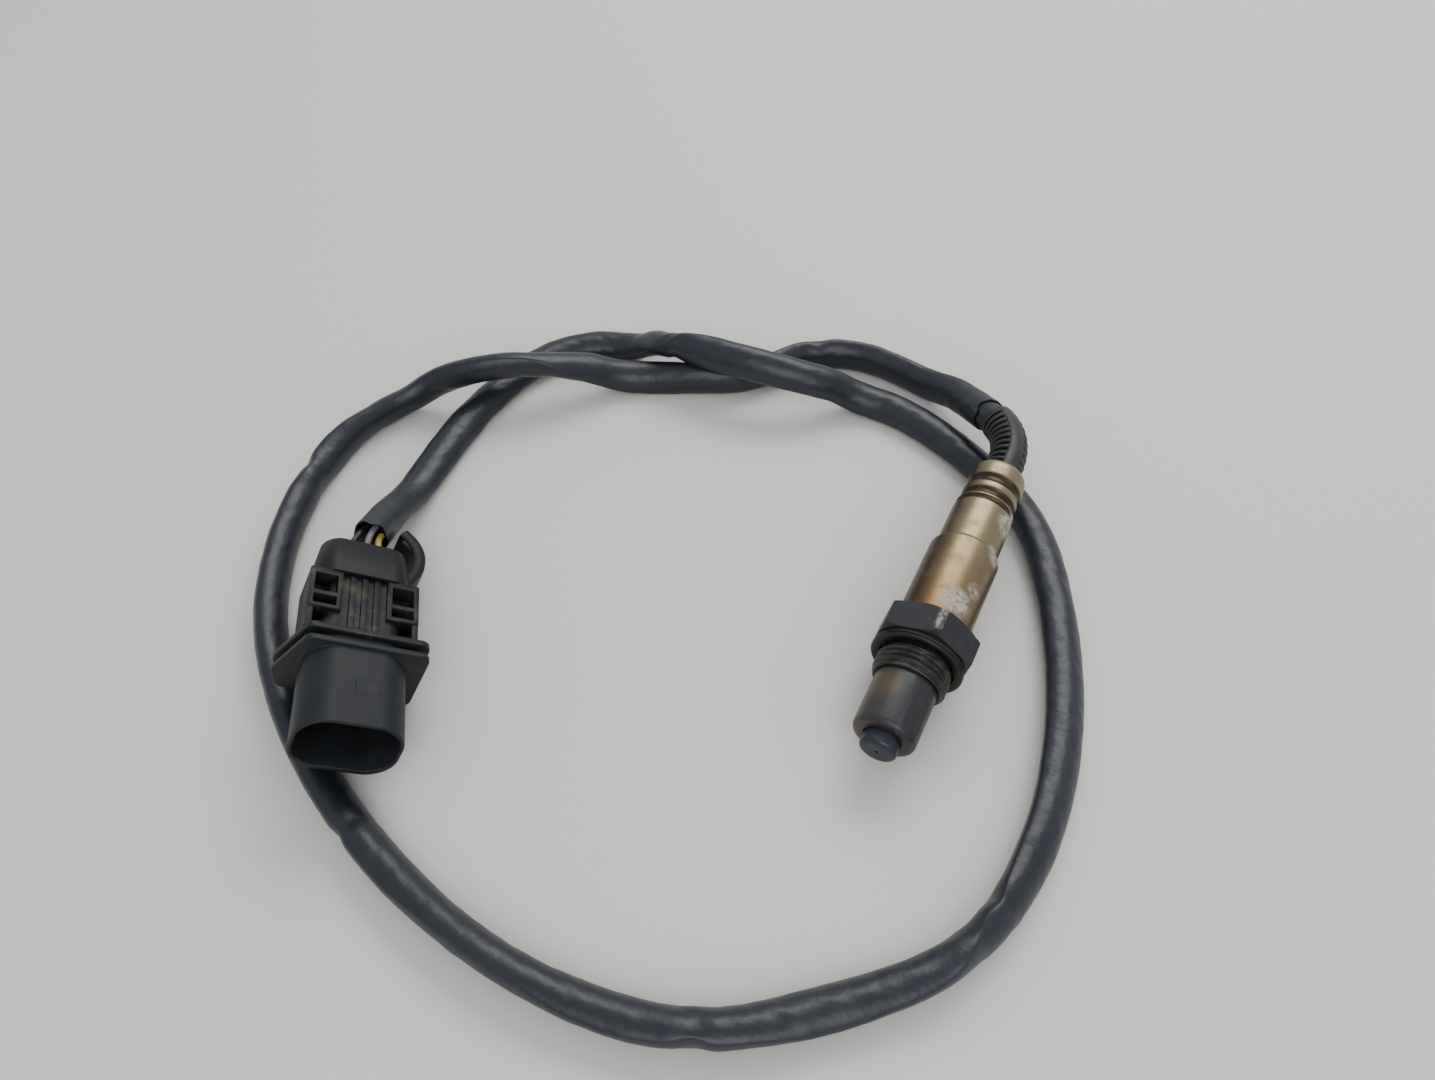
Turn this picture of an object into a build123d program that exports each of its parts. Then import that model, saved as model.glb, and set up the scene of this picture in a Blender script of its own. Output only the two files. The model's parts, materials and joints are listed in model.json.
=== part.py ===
# Wideband oxygen sensor with its five-lead cable and six-way plug, lying as it comes to rest.
# The sensor's axis runs along +Y, tip towards -Y and a few degrees nose-down; the floor is Z = 0.
import os
from math import cos, pi, radians, sin, tan

from build123d import *

# ---- sensor head: stations along its axis, 0 at the rear face of the hexagon, the tip negative ----
head_tilt = 4.0
hex_roll = 10.9
hex_flats = 22.0
hex_height = 7.7
hex_chamfer = 0.7
washer_face_radius = 10.6
washer_face_height = 0.6
collar_length = 7.0

thread_radius = 9.0
thread_root_radius = 8.1
thread_length = 6.2
thread_chamfer = 0.9
gasket_radius = 11.3
gasket_bore_radius = 9.15
gasket_thickness = 1.8
gasket_groove = 0.5

outer_tube_radius = 7.5
outer_tube_wall = 0.5
outer_tube_reach = 14.8
tube_socket = 4.2
inner_tube_radius = 6.1
inner_tube_wall = 0.4
nub_radius = 4.45
nub_height = 3.6
nub_hole_radius = 0.9
gas_hole_radius = 0.6
gas_holes = 8

bush_radius = 5.1
bush_lip = 1.2
lower_bush_length = 6.8
powder_length = 4.0
cap_ring_thickness = 0.8
swage_thickness = 0.7
swage_radius = 4.4

element_width = 4.0
element_thickness = 1.2
element_front = -27.0
element_rear = 29.0

shell_radius = 8.9
shell_wall = 0.5
shell_step = 24.2
step_length = 1.2
upper_shell_radius = 7.75
neck_station = 38.4
neck_radius = 7.1
lip_radius = 7.6
groove_radius = 6.65
groove_width = 1.8
band_radius = 7.2
band_width = 1.6
groove_slope = 0.8
shell_mouth_radius = 5.9
shell_end = 53.6

holder_radius = 5.6
holder_front = 10.0
holder_length = 17.0
clamp_ring_wall = 0.5
clamp_ring_offset = 4.0
strip_width = 0.9
strip_thickness = 0.3
strip_pitch = 1.35
barrel_radius = 0.85
barrel_length = 3.0

lead_radius = 0.8
lead_circle = 2.3
lead_count = 5
grommet_front = 39.8
plug_flange_thickness = 1.2

boot_root_radius = 4.1
boot_bore_radius = 3.4
boot_rib_radius = 4.9
boot_rib_width = 1.0
boot_rib_pitch = 2.25
boot_ribs = 10
boot_straight = 4.0
boot_bend_radius = 24.0
boot_bend = 52.0
boot_bend_roll = 24.0
boot_tail = 5.0
boot_flange_radius = 5.95
boot_spine_width = 4.4

clearance = 0.05

# ---- cable: the line's corners from the boot's end round to the plug ----
sleeve_diameter = 9.2
sleeve_rest = sleeve_diameter / 2 + 0.1
crossing_rest = sleeve_rest + sleeve_diameter + 0.9
sleeve_start = 14.0
cable_corners = [
    (-37.5, 88.2, sleeve_rest + 0.3), (-58.5, 90.0, sleeve_rest), (-73.5, 79.8, sleeve_rest),
    (-81.0, 62.0, sleeve_rest), (-97.5, 53.0, sleeve_rest), (-118.0, 47.0, 6.0),
    (-136.5, 31.5, crossing_rest), (-156.5, 27.2, crossing_rest), (-169.0, 13.5, 7.0),
    (-174.0, -8.0, sleeve_rest), (-171.5, -32.0, sleeve_rest), (-162.5, -56.0, sleeve_rest),
    (-147.5, -78.5, sleeve_rest), (-124.0, -96.0, sleeve_rest), (-97.0, -108.0, sleeve_rest),
    (-68.0, -117.5, sleeve_rest), (-40.0, -121.5, sleeve_rest), (-12.0, -112.5, sleeve_rest),
    (12.0, -96.5, sleeve_rest), (30.0, -73.0, sleeve_rest), (38.5, -45.0, sleeve_rest),
    (36.5, -14.0, sleeve_rest), (26.0, 16.0, sleeve_rest), (8.0, 44.5, sleeve_rest),
    (-18.5, 68.0, sleeve_rest), (-47.0, 77.0, sleeve_rest), (-70.0, 65.0, crossing_rest),
    (-101.0, 61.5, crossing_rest), (-122.2, 64.2, 5.5), (-140.4, 54.7, sleeve_rest),
    (-149.5, 37.0, sleeve_rest), (-148.0, 15.0, sleeve_rest), (-144.0, -6.0, sleeve_rest),
    (-140.6, -26.0, 6.8)]
sleeve_end = (-138.4, -43.5, 12.5)
fillet_share = 0.45

# ---- plug: stations along its axis, 0 at the front face of the flange, the mouth positive ----
plug_place = (-114.0, -81.3, 14.9)
plug_heading = -53.0
plug_pitch = 5.0
plug_roll = 29.0

shroud_width = 23.6
shroud_height = 17.4
shroud_corner = 7.0
shroud_draft = 0.5
shroud_length = 21.0
shroud_wall = 1.6
flange_left = 17.0
flange_right = 15.5
flange_top = 9.5
flange_bottom = 8.8
flange_slant = 5.0
flange_foot = 2.0
flange_knee = -3.5
flange_corner = 2.2
flange_plate = 1.6
flange_gap = 2.0
body_width = 18.0
body_height = 13.0
body_corner = 3.0
body_length = 21.8
bore_width = 15.2
bore_height = 10.2
bore_corner = 1.6
latch_outside = 12.8
latch_width = 7.6
latch_top = 7.6
latch_bottom = -4.0
latch_front = 11.5
latch_length = 12.5
latch_wall = 1.2
latch_depth = 4.5
latch_windows = [(2.6, 2.8), (8.0, 5.6)]
fin_thickness = 1.5
fin_height = 9.6
fin_middle = -1.0
rib_count = 3
rib_width = 1.4
rib_pitch = 2.8
rib_height = 0.7
rib_end_gap = 1.0
pin_pitch = 5.0
pin_row_gap = 5.2
pin_radius = 0.75
pin_reach = 8.6
pin_chamfer = 0.35
lead_straight = 1.0
terminal_radius = 1.6
lock_thickness = 1.6
seal_mat_thickness = 2.5
cap_width = 22.6
cap_corner = 5.0
cap_start = 24.0
cap_length = 11.5
cap_wall = 1.4
cap_taper = 1.6
cap_opening = (14.6, 8.4)
cap_opening_place = (1.1, 1.0)
cap_opening_corner = 2.5
arm_thickness = 2.2
arm_height = 7.0
arm_corner = 0.8
arm_middle = 1.0
arm_points = [(9.5, 27.5), (12.0, 30.5), (13.6, 35.0), (12.6, 39.5), (9.4, 43.0)]
resistor_size = (3.2, 3.2, 5.0)
resistor_corner = 0.5

os.makedirs("parts", exist_ok=True)

# Sensor head
hex_corner = hex_flats / 2 / cos(radians(30))
head_height = hex_corner * cos(radians(hex_roll)) * cos(radians(head_tilt)) \
    + (hex_height - hex_chamfer) * sin(radians(head_tilt))
seat = hex_height + washer_face_height
thread_end = seat + gasket_thickness + thread_length
tube_end = thread_end + outer_tube_reach
tip = tube_end + nub_height
head_dir = Vector(0, cos(radians(head_tilt)), sin(radians(head_tilt)))
head_up = Vector(0, -sin(radians(head_tilt)), cos(radians(head_tilt)))
nub_face_radius = nub_radius - 1.1
head_middle = (tip - shell_end) * cos(radians(head_tilt)) \
    - (shell_mouth_radius - nub_face_radius) * sin(radians(head_tilt))
head_origin = Vector(0, head_middle / 2, head_height)
head_axis = Axis(head_origin, head_dir)
half_section = Plane(origin=head_origin, x_dir=head_dir, z_dir=(1, 0, 0))


def across(station):
    """Plane square to the sensor's axis, local Y upwards."""
    return Plane(origin=head_origin + head_dir * station, x_dir=(-1, 0, 0), z_dir=head_dir)


def ring_section(points):
    """Closed half section of stations and radii, turned once about the sensor's axis."""
    with BuildSketch(half_section) as section:
        with BuildLine():
            Polyline(*points, close=True)
        make_face()
    revolve(section.sketch, axis=head_axis)


socket_floor = -(thread_end - tube_socket)
bush_front = socket_floor + bush_lip
powder_front = bush_front + lower_bush_length
powder_rear = powder_front + powder_length
cap_front = collar_length - swage_thickness - cap_ring_thickness
bore_radius = bush_radius + clearance
socket_radius = outer_tube_radius + clearance
collar_radius = shell_radius - shell_wall - clearance

with BuildPart() as hex_body:
    ring_section([(socket_floor, swage_radius), (socket_floor, socket_radius), (-thread_end, socket_radius),
                  (-thread_end, thread_radius - thread_chamfer), (-thread_end + thread_chamfer, thread_radius),
                  (-seat - gasket_thickness - 0.2, thread_radius), (-seat - gasket_thickness, thread_root_radius),
                  (-seat, thread_root_radius), (-seat, washer_face_radius), (-hex_height, washer_face_radius),
                  (-hex_height, hex_flats / 2), (0, hex_flats / 2), (0, collar_radius),
                  (collar_length, collar_radius), (collar_length, swage_radius),
                  (collar_length - swage_thickness, swage_radius), (collar_length - swage_thickness, bore_radius),
                  (bush_front, bore_radius), (bush_front, swage_radius)])
    with BuildSketch(across(-hex_height)):
        RegularPolygon(radius=hex_corner, side_count=6, rotation=90 + hex_roll)
        Circle(bore_radius, mode=Mode.SUBTRACT)
    extrude(amount=hex_height)
    with BuildSketch(half_section):
        with BuildLine():
            Polyline((-hex_height, hex_flats / 2 + 0.3), (-hex_height + hex_chamfer, hex_corner),
                     (-hex_height, hex_corner + 2), close=True)
        make_face()
        with BuildLine():
            Polyline((0, hex_flats / 2 + 0.3), (-hex_chamfer, hex_corner), (0, hex_corner + 2), close=True)
        make_face()
    revolve(axis=head_axis, mode=Mode.SUBTRACT)
hex_body.part.label = "hex_body"
export_step(hex_body.part, "parts/hex_body.step")

# Captive crush washer, folded from sheet: round edges and a groove rolled into its outside
with BuildPart() as sealing_gasket:
    gasket_mid = -seat - gasket_thickness / 2
    ring_section([(-seat, gasket_bore_radius), (-seat, gasket_radius - 0.4), (-seat - 0.4, gasket_radius),
                  (gasket_mid + 0.15, gasket_radius), (gasket_mid, gasket_radius - gasket_groove),
                  (gasket_mid - 0.15, gasket_radius), (-seat - gasket_thickness + 0.4, gasket_radius),
                  (-seat - gasket_thickness, gasket_radius - 0.4), (-seat - gasket_thickness, gasket_bore_radius)])
sealing_gasket.part.label = "sealing_gasket"
export_step(sealing_gasket.part, "parts/sealing_gasket.step")

# Outer protection tube: open end in the thread's socket, front end turned in towards the nub
with BuildPart() as outer_protection_tube:
    tube_inside = outer_tube_radius - outer_tube_wall
    nub_gap = nub_radius + clearance
    turn_in = 0.9
    with BuildSketch(half_section):
        with BuildLine():
            Polyline((-tube_end + turn_in, outer_tube_radius), (socket_floor, outer_tube_radius),
                     (socket_floor, tube_inside), (-tube_end + turn_in, tube_inside),
                     (-tube_end, tube_inside - turn_in + outer_tube_wall), (-tube_end, nub_gap),
                     (-tube_end - outer_tube_wall, nub_gap), (-tube_end - outer_tube_wall, tube_inside - turn_in))
            ThreePointArc((-tube_end - outer_tube_wall, tube_inside - turn_in),
                          (-tube_end + 0.05, outer_tube_radius - 0.45), (-tube_end + turn_in, outer_tube_radius))
        make_face()
    revolve(axis=head_axis)
    with BuildSketch(across(-tube_end + 0.1)):
        with PolarLocations((nub_radius + tube_inside) / 2 - 0.2, gas_holes):
            Circle(gas_hole_radius)
    extrude(amount=-(outer_tube_wall + 0.3), mode=Mode.SUBTRACT)
outer_protection_tube.part.label = "outer_protection_tube"
export_step(outer_protection_tube.part, "parts/outer_protection_tube.step")

# Inner protection tube: flange on the socket's floor, wide barrel with side holes, necked to the nub
with BuildPart() as inner_protection_tube:
    neck_start = -tube_end + 2.8
    inner = inner_tube_wall
    with BuildSketch(half_section):
        with BuildLine():
            Polyline((-tip + 0.8, nub_radius), (-tube_end + 0.6, nub_radius), (neck_start, inner_tube_radius),
                     (socket_floor - inner, inner_tube_radius), (socket_floor - inner, tube_inside - clearance),
                     (socket_floor, tube_inside - clearance), (socket_floor, inner_tube_radius - inner),
                     (neck_start, inner_tube_radius - inner), (-tube_end + 0.6, nub_radius - inner),
                     (-tip + 0.8, nub_radius - inner), (-tip + inner, nub_radius - 1.1),
                     (-tip + inner, nub_hole_radius), (-tip, nub_hole_radius), (-tip, nub_radius - 1.1))
            ThreePointArc((-tip, nub_radius - 1.1), (-tip + 0.25, nub_radius - 0.32), (-tip + 0.8, nub_radius))
        make_face()
    revolve(axis=head_axis)
    for turn in range(gas_holes):
        angle = radians(360 / gas_holes * turn)
        outward = Vector(1, 0, 0) * cos(angle) + head_up * sin(angle)
        with BuildSketch(Plane(origin=head_origin + head_dir * (socket_floor - 4) + outward * 4, x_dir=head_dir,
                               z_dir=outward)):
            Circle(gas_hole_radius)
        extrude(amount=3, mode=Mode.SUBTRACT)
inner_protection_tube.part.label = "inner_protection_tube"
export_step(inner_protection_tube.part, "parts/inner_protection_tube.step")

# Planar ceramic element: a long strip with bevelled front corners
with BuildPart() as sensor_element:
    with BuildSketch(across(element_front)):
        Rectangle(element_width, element_thickness)
    extrude(amount=element_rear - element_front)
    chamfer(sensor_element.edges().filter_by(Axis(head_origin, head_up)).group_by(Axis.Y)[0], 0.5)
sensor_element.part.label = "sensor_element"
export_step(sensor_element.part, "parts/sensor_element.step")


def bush(name, front, rear, slot_gap):
    """Ceramic or powder ring in the body's bore, slotted for the element."""
    with BuildPart() as ring:
        with BuildSketch(across(front)):
            Circle(bush_radius)
            Rectangle(element_width + 2 * slot_gap, element_thickness + 2 * slot_gap, mode=Mode.SUBTRACT)
        extrude(amount=rear - front)
    ring.part.label = name
    export_step(ring.part, f"parts/{name}.step")


bush("lower_ceramic_bush", bush_front, powder_front, clearance)
bush("seal_powder_ring", powder_front, powder_rear, 0)
bush("upper_ceramic_bush", powder_rear, cap_front, clearance)

with BuildPart() as bush_cap_ring:
    ring_section([(cap_front, 3.2), (cap_front, bush_radius), (cap_front + cap_ring_thickness, bush_radius),
                  (cap_front + cap_ring_thickness, 3.2)])
bush_cap_ring.part.label = "bush_cap_ring"
export_step(bush_cap_ring.part, "parts/bush_cap_ring.step")

# Protective shell: wide and narrow barrel, a flared lip, and two grooves crimped onto the grommet
first_groove = neck_station + 2 * groove_slope + 1.0
second_groove = first_groove + groove_width + band_width + 2 * groove_slope
last_band = second_groove + groove_width + groove_slope


def crimp_line(inset):
    """Stations and radii of the crimped zone, moved inwards by the inset."""
    return [(neck_station, upper_shell_radius - inset), (neck_station + 0.5, neck_radius - inset),
            (neck_station + 0.9, neck_radius - inset), (neck_station + 1.3, lip_radius - inset),
            (first_groove - groove_slope + 0.3, lip_radius - inset), (first_groove, groove_radius - inset),
            (first_groove + groove_width, groove_radius - inset),
            (first_groove + groove_width + groove_slope, band_radius - inset),
            (second_groove - groove_slope, band_radius - inset), (second_groove, groove_radius - inset),
            (second_groove + groove_width, groove_radius - inset), (last_band, band_radius - inset)]


rounding_start = shell_end - 2.2
with BuildPart() as sensor_shell:
    inside = shell_radius - shell_wall
    with BuildSketch(half_section):
        with BuildLine():
            Polyline((0, inside), (0, shell_radius), (shell_step, shell_radius))
            ThreePointArc((shell_step, shell_radius), (shell_step + 0.55, shell_radius - 0.25),
                          (shell_step + 0.9, shell_radius - 0.7))
            Polyline((shell_step + 0.9, shell_radius - 0.7), (shell_step + step_length, upper_shell_radius),
                     *crimp_line(0), (rounding_start, band_radius))
            ThreePointArc((rounding_start, band_radius), (shell_end - 0.6, band_radius - 0.42),
                          (shell_end, shell_mouth_radius))
            Polyline((shell_end, shell_mouth_radius), (shell_end - shell_wall, shell_mouth_radius - 0.15),
                     (rounding_start, band_radius - shell_wall), *reversed(crimp_line(shell_wall)),
                     (shell_step + step_length - shell_wall, upper_shell_radius - shell_wall),
                     (shell_step - shell_wall, inside), (0, inside))
        make_face()
    revolve(axis=head_axis)
sensor_shell.part.label = "sensor_shell"
export_step(sensor_shell.part, "parts/sensor_shell.step")

# Contact holder: two ceramic halves about the element, pressed together by a sprung ring
holder_rear = holder_front + holder_length
holder_face = element_thickness / 2 + strip_thickness + clearance
for side, name in ((1, "contact_holder_upper"), (-1, "contact_holder_lower")):
    with BuildPart() as holder:
        with BuildSketch(across(holder_front)):
            Circle(holder_radius)
            with Locations((0, -side * (holder_radius - holder_face))):
                Rectangle(2 * holder_radius, 2 * holder_radius, mode=Mode.SUBTRACT)
        extrude(amount=holder_length)
    holder.part.label = name
    export_step(holder.part, f"parts/{name}.step")

with BuildPart() as holder_clamp_ring:
    clamp_front = holder_front + clamp_ring_offset
    clamp_rear = shell_step - shell_wall
    clamp_inside = holder_radius + clearance
    clamp_outside = clamp_inside + clamp_ring_wall
    foot = shell_radius - shell_wall - clearance
    ring_section([(clamp_front, clamp_inside), (clamp_front, foot), (clamp_front + clamp_ring_wall, foot),
                  (clamp_front + clamp_ring_wall, clamp_outside), (clamp_rear, clamp_outside),
                  (clamp_rear, clamp_inside)])
holder_clamp_ring.part.label = "holder_clamp_ring"
export_step(holder_clamp_ring.part, "parts/holder_clamp_ring.step")

# Contact strips: three above the element and two below, each ending in a crimped barrel
strip_places = [(-strip_pitch, 1), (0, 1), (strip_pitch, 1), (-strip_pitch / 2 - 0.3, -1), (strip_pitch / 2 + 0.3, -1)]
strip_front = holder_front + 3
barrel_front = element_rear + 1.6
barrel_rear = barrel_front + barrel_length
barrel_height = 2.2
barrel_spread = 1.6
strip_lift = element_thickness / 2 + strip_thickness / 2
barrel_centres = []
for number, (offset, side) in enumerate(strip_places, start=1):
    with BuildPart() as contact_strip:
        with BuildSketch(across(strip_front)):
            with Locations((offset, side * strip_lift)):
                Rectangle(strip_width, strip_thickness)
        extrude(amount=holder_rear + 1.0 - strip_front)
        with BuildSketch(across(holder_rear + 1.0)):
            with Locations((offset, side * strip_lift)):
                Rectangle(strip_width, strip_thickness)
        with BuildSketch(across(barrel_front)):
            with Locations((offset * barrel_spread, side * barrel_height)):
                Rectangle(strip_width, strip_thickness)
        loft()
        with BuildSketch(across(barrel_front)):
            with Locations((offset * barrel_spread, side * barrel_height)):
                Circle(barrel_radius)
        extrude(amount=barrel_length)
    barrel_centres.append((offset * barrel_spread, side * barrel_height))
    contact_strip.part.label = f"contact_strip_{number}"
    export_step(contact_strip.part, f"parts/contact_strip_{number}.step")

# Wire grommet: fills the crimped zone, one hole for each lead
boot_base = shell_end - shell_wall - 0.6 - plug_flange_thickness
lead_angles = [162, 90, 18, 234, 306]
lead_holes = [(lead_circle * cos(radians(a)), lead_circle * sin(radians(a))) for a in lead_angles]
with BuildPart() as wire_grommet:
    grommet_line = [(s, r) for s, r in crimp_line(shell_wall + clearance) if s >= grommet_front]
    ring_section([(grommet_front, 0), (grommet_front, lip_radius - shell_wall - clearance), *grommet_line,
                  (boot_base, band_radius - shell_wall - clearance), (boot_base, 0)])
    with BuildSketch(across(grommet_front)):
        for place in lead_holes:
            with Locations(place):
                Circle(lead_radius + clearance)
    extrude(amount=boot_base - grommet_front, mode=Mode.SUBTRACT)
wire_grommet.part.label = "wire_grommet"
export_step(wire_grommet.part, "parts/wire_grommet.step")

# Boot: its path runs straight out of the shell, then bends sideways and down in one plane
bend_side = Vector(-1, 0, 0) * cos(radians(boot_bend_roll)) - head_up * sin(radians(boot_bend_roll))
boot_plane = Plane(origin=head_origin + head_dir * boot_base, x_dir=head_dir, z_dir=head_dir.cross(bend_side))
boot_run = shell_end - boot_base + boot_straight


def boot_path(inset=0.0, aside=0.0):
    """The boot's line: straight, arc and tail, moved towards its bend and square to the bend's plane."""
    with BuildLine(boot_plane.offset(aside)) as line:
        out = Line((0, inset), (boot_run, inset))
        bend = JernArc(out @ 1, (1, 0), boot_bend_radius - inset, boot_bend)
        Line(bend @ 1, bend @ 1 + (bend % 1) * boot_tail)
    return line.wires()[0]


def boot_station(distance):
    """Plane square to the boot's line at a distance from its base, local X towards the bend."""
    wire = boot_path()
    share = distance / wire.length
    forward = (wire % share).normalized()
    normal = boot_plane.z_dir
    return Plane(origin=wire @ share, x_dir=normal.cross(forward), z_dir=forward)


boot_length = boot_path().length
with BuildPart() as corrugated_boot:
    with BuildSketch(boot_station(0)):
        Circle(boot_root_radius)
    sweep(path=boot_path())
    with BuildSketch(boot_station(0)):
        Circle(boot_flange_radius)
    extrude(amount=plug_flange_thickness)
    with BuildSketch(boot_station(0)):
        Circle(shell_mouth_radius - 0.3)
    extrude(amount=shell_end - boot_base + 1.2)
    first_rib = shell_end - boot_base + 2.6
    for rib in range(boot_ribs):
        here = boot_station(first_rib + rib * boot_rib_pitch)
        with BuildSketch(here.offset(-boot_rib_width / 2)):
            Circle(boot_root_radius - 0.2)
        with BuildSketch(here.offset(-boot_rib_width / 5)):
            Circle(boot_rib_radius)
        with BuildSketch(here.offset(boot_rib_width / 5)):
            Circle(boot_rib_radius)
        with BuildSketch(here.offset(boot_rib_width / 2)):
            Circle(boot_root_radius - 0.2)
        loft(ruled=True)
    spine_height = boot_rib_radius - boot_bore_radius - 0.45
    with BuildSketch(boot_station(0)):
        with Locations((-(boot_bore_radius + 0.2 + spine_height / 2), 0)):
            Rectangle(spine_height, boot_spine_width)
    sweep(path=boot_path())
    with BuildSketch(boot_station(0)):
        Circle(boot_bore_radius)
    sweep(path=boot_path(), mode=Mode.SUBTRACT)
corrugated_boot.part.label = "corrugated_boot"
export_step(corrugated_boot.part, "parts/corrugated_boot.step")
print("boot end", boot_path() @ 1, "direction", boot_path() % 1, "length", round(boot_length, 2))

# Leads in the head: from the crimped barrels through the grommet and along the boot
for number, (start, hole) in enumerate(zip(barrel_centres, lead_holes), start=1):
    offset = Vector(-1, 0, 0) * hole[0] + head_up * hole[1]
    corners = [across(barrel_rear).from_local_coords((*start, 0)),
               across(barrel_rear + 1.8).from_local_coords((*start, 0)),
               across(grommet_front - 1.0).from_local_coords((*hole, 0)),
               across(boot_base).from_local_coords((*hole, 0))]
    with BuildPart() as head_lead:
        with BuildLine() as lead_line:
            FilletPolyline(*corners, radius=1.6)
            add(boot_path(offset.dot(bend_side), offset.dot(boot_plane.z_dir)).edges())
        with BuildSketch(across(barrel_rear)):
            with Locations(start):
                Circle(lead_radius)
        sweep(path=lead_line.wires()[0])
    head_lead.part.label = f"head_lead_{number}"
    export_step(head_lead.part, f"parts/head_lead_{number}.step")

# Plug
plug_level = Vector(cos(radians(plug_heading)), sin(radians(plug_heading)), 0)
plug_out = plug_level * cos(radians(plug_pitch)) + Vector(0, 0, sin(radians(plug_pitch)))
plug_across = Vector(-sin(radians(plug_heading)), cos(radians(plug_heading)), 0)
plug_above = plug_out.cross(plug_across)
plug_right = plug_across * cos(radians(plug_roll)) - plug_above * sin(radians(plug_roll))
plug_frame = Plane(origin=plug_place, x_dir=plug_right, z_dir=plug_out)
plan_frame = Plane(origin=plug_place, x_dir=plug_right, z_dir=plug_frame.y_dir)

flange_back = 2 * flange_plate + flange_gap
body_back = flange_back + body_length
cavity_floor = flange_plate - flange_back
cavity_width = shroud_width - shroud_draft - 2 * shroud_wall
cavity_height = shroud_height - shroud_draft - 2 * shroud_wall
mat_front = body_back - seal_mat_thickness
pin_places = [((column - 1) * pin_pitch, (0.5 - row) * pin_row_gap) for row in range(2) for column in range(3)]


def flange_outline():
    """Flange plate: square top, slanted left edge, two corners rounded on the right."""
    with BuildLine() as line:
        FilletPolyline((-flange_left + flange_slant, flange_top), (flange_right, flange_top),
                       (flange_right, -flange_bottom), (-flange_left + flange_foot, -flange_bottom),
                       (-flange_left, flange_knee), radius=flange_corner, close=True)
    return line.line


# Shroud and front flange plate: a mouth that runs through to the body behind it
with BuildPart() as connector_housing:
    with BuildSketch(plug_frame):
        RectangleRounded(shroud_width - shroud_draft, shroud_height - shroud_draft, shroud_corner)
    with BuildSketch(plug_frame.offset(shroud_length)):
        RectangleRounded(shroud_width, shroud_height, shroud_corner)
    loft()
    with BuildSketch(plug_frame.offset(-flange_plate)):
        with BuildLine():
            add(flange_outline())
        make_face()
    extrude(amount=flange_plate)
    with BuildSketch(plug_frame.offset(cavity_floor)):
        RectangleRounded(shroud_width - shroud_draft, shroud_height - shroud_draft, shroud_corner)
    extrude(amount=-cavity_floor)
    with BuildSketch(plug_frame.offset(cavity_floor)):
        RectangleRounded(cavity_width, cavity_height, shroud_corner - shroud_wall)
    extrude(amount=shroud_length - cavity_floor, mode=Mode.SUBTRACT)
connector_housing.part.label = "connector_housing"
export_step(connector_housing.part, "parts/connector_housing.step")

# Rear flange plate and body with a latch box on each side, open right through for the terminals' carrier
with BuildPart() as latch_body:
    with BuildSketch(plug_frame.offset(-flange_back)):
        with BuildLine():
            add(flange_outline())
        make_face()
    extrude(amount=flange_plate)
    with BuildSketch(plug_frame.offset(-body_back)):
        RectangleRounded(body_width, body_height, body_corner)
    extrude(amount=body_back - flange_back)
    for side in (-1, 1):
        middle = side * (latch_outside - latch_width / 2)
        with BuildSketch(plug_frame.offset(-latch_front - latch_length)):
            with Locations((middle, (latch_top + latch_bottom) / 2)):
                Rectangle(latch_width, latch_top - latch_bottom)
        extrude(amount=latch_length)
        with BuildSketch(plug_frame.offset(-latch_front)):
            with Locations((side * (latch_outside - fin_thickness / 2), fin_middle)):
                Rectangle(fin_thickness, fin_height)
        extrude(amount=latch_front - flange_back)
    with BuildSketch(plan_frame.offset(body_height / 2)):
        for rib in range(rib_count):
            with Locations(((rib - (rib_count - 1) / 2) * rib_pitch, (flange_back + cap_start) / 2)):
                Rectangle(rib_width, cap_start - flange_back - rib_end_gap)
    extrude(amount=rib_height)
    for side in (-1, 1):
        middle = side * (latch_outside - latch_width / 2)
        with BuildSketch(plan_frame.offset(latch_top)):
            for centre, length in latch_windows:
                with Locations((middle, latch_front + centre)):
                    Rectangle(latch_width - 2 * latch_wall, length)
        extrude(amount=-latch_depth, mode=Mode.SUBTRACT)
    with BuildSketch(plug_frame.offset(-body_back)):
        RectangleRounded(bore_width, bore_height, bore_corner)
    extrude(amount=body_back + cavity_floor, mode=Mode.SUBTRACT)
latch_body.part.label = "latch_body"
export_step(latch_body.part, "parts/latch_body.step")

# Block that holds the terminals inside the body
with BuildPart() as terminal_carrier:
    with BuildSketch(plug_frame.offset(-mat_front)):
        RectangleRounded(bore_width - 2 * clearance, bore_height - 2 * clearance, bore_corner - clearance)
        with Locations(*pin_places):
            Circle(terminal_radius + clearance, mode=Mode.SUBTRACT)
    extrude(amount=mat_front + cavity_floor)
terminal_carrier.part.label = "terminal_carrier"
export_step(terminal_carrier.part, "parts/terminal_carrier.step")

# Plate over the terminals at the cavity's floor
with BuildPart() as terminal_lock:
    with BuildSketch(plug_frame.offset(cavity_floor)):
        RectangleRounded(cavity_width - 2 * clearance, cavity_height - 2 * clearance,
                         shroud_corner - shroud_wall - clearance)
        with Locations(*pin_places):
            Circle(pin_radius + clearance, mode=Mode.SUBTRACT)
    extrude(amount=lock_thickness)
terminal_lock.part.label = "terminal_lock"
export_step(terminal_lock.part, "parts/terminal_lock.step")

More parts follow.
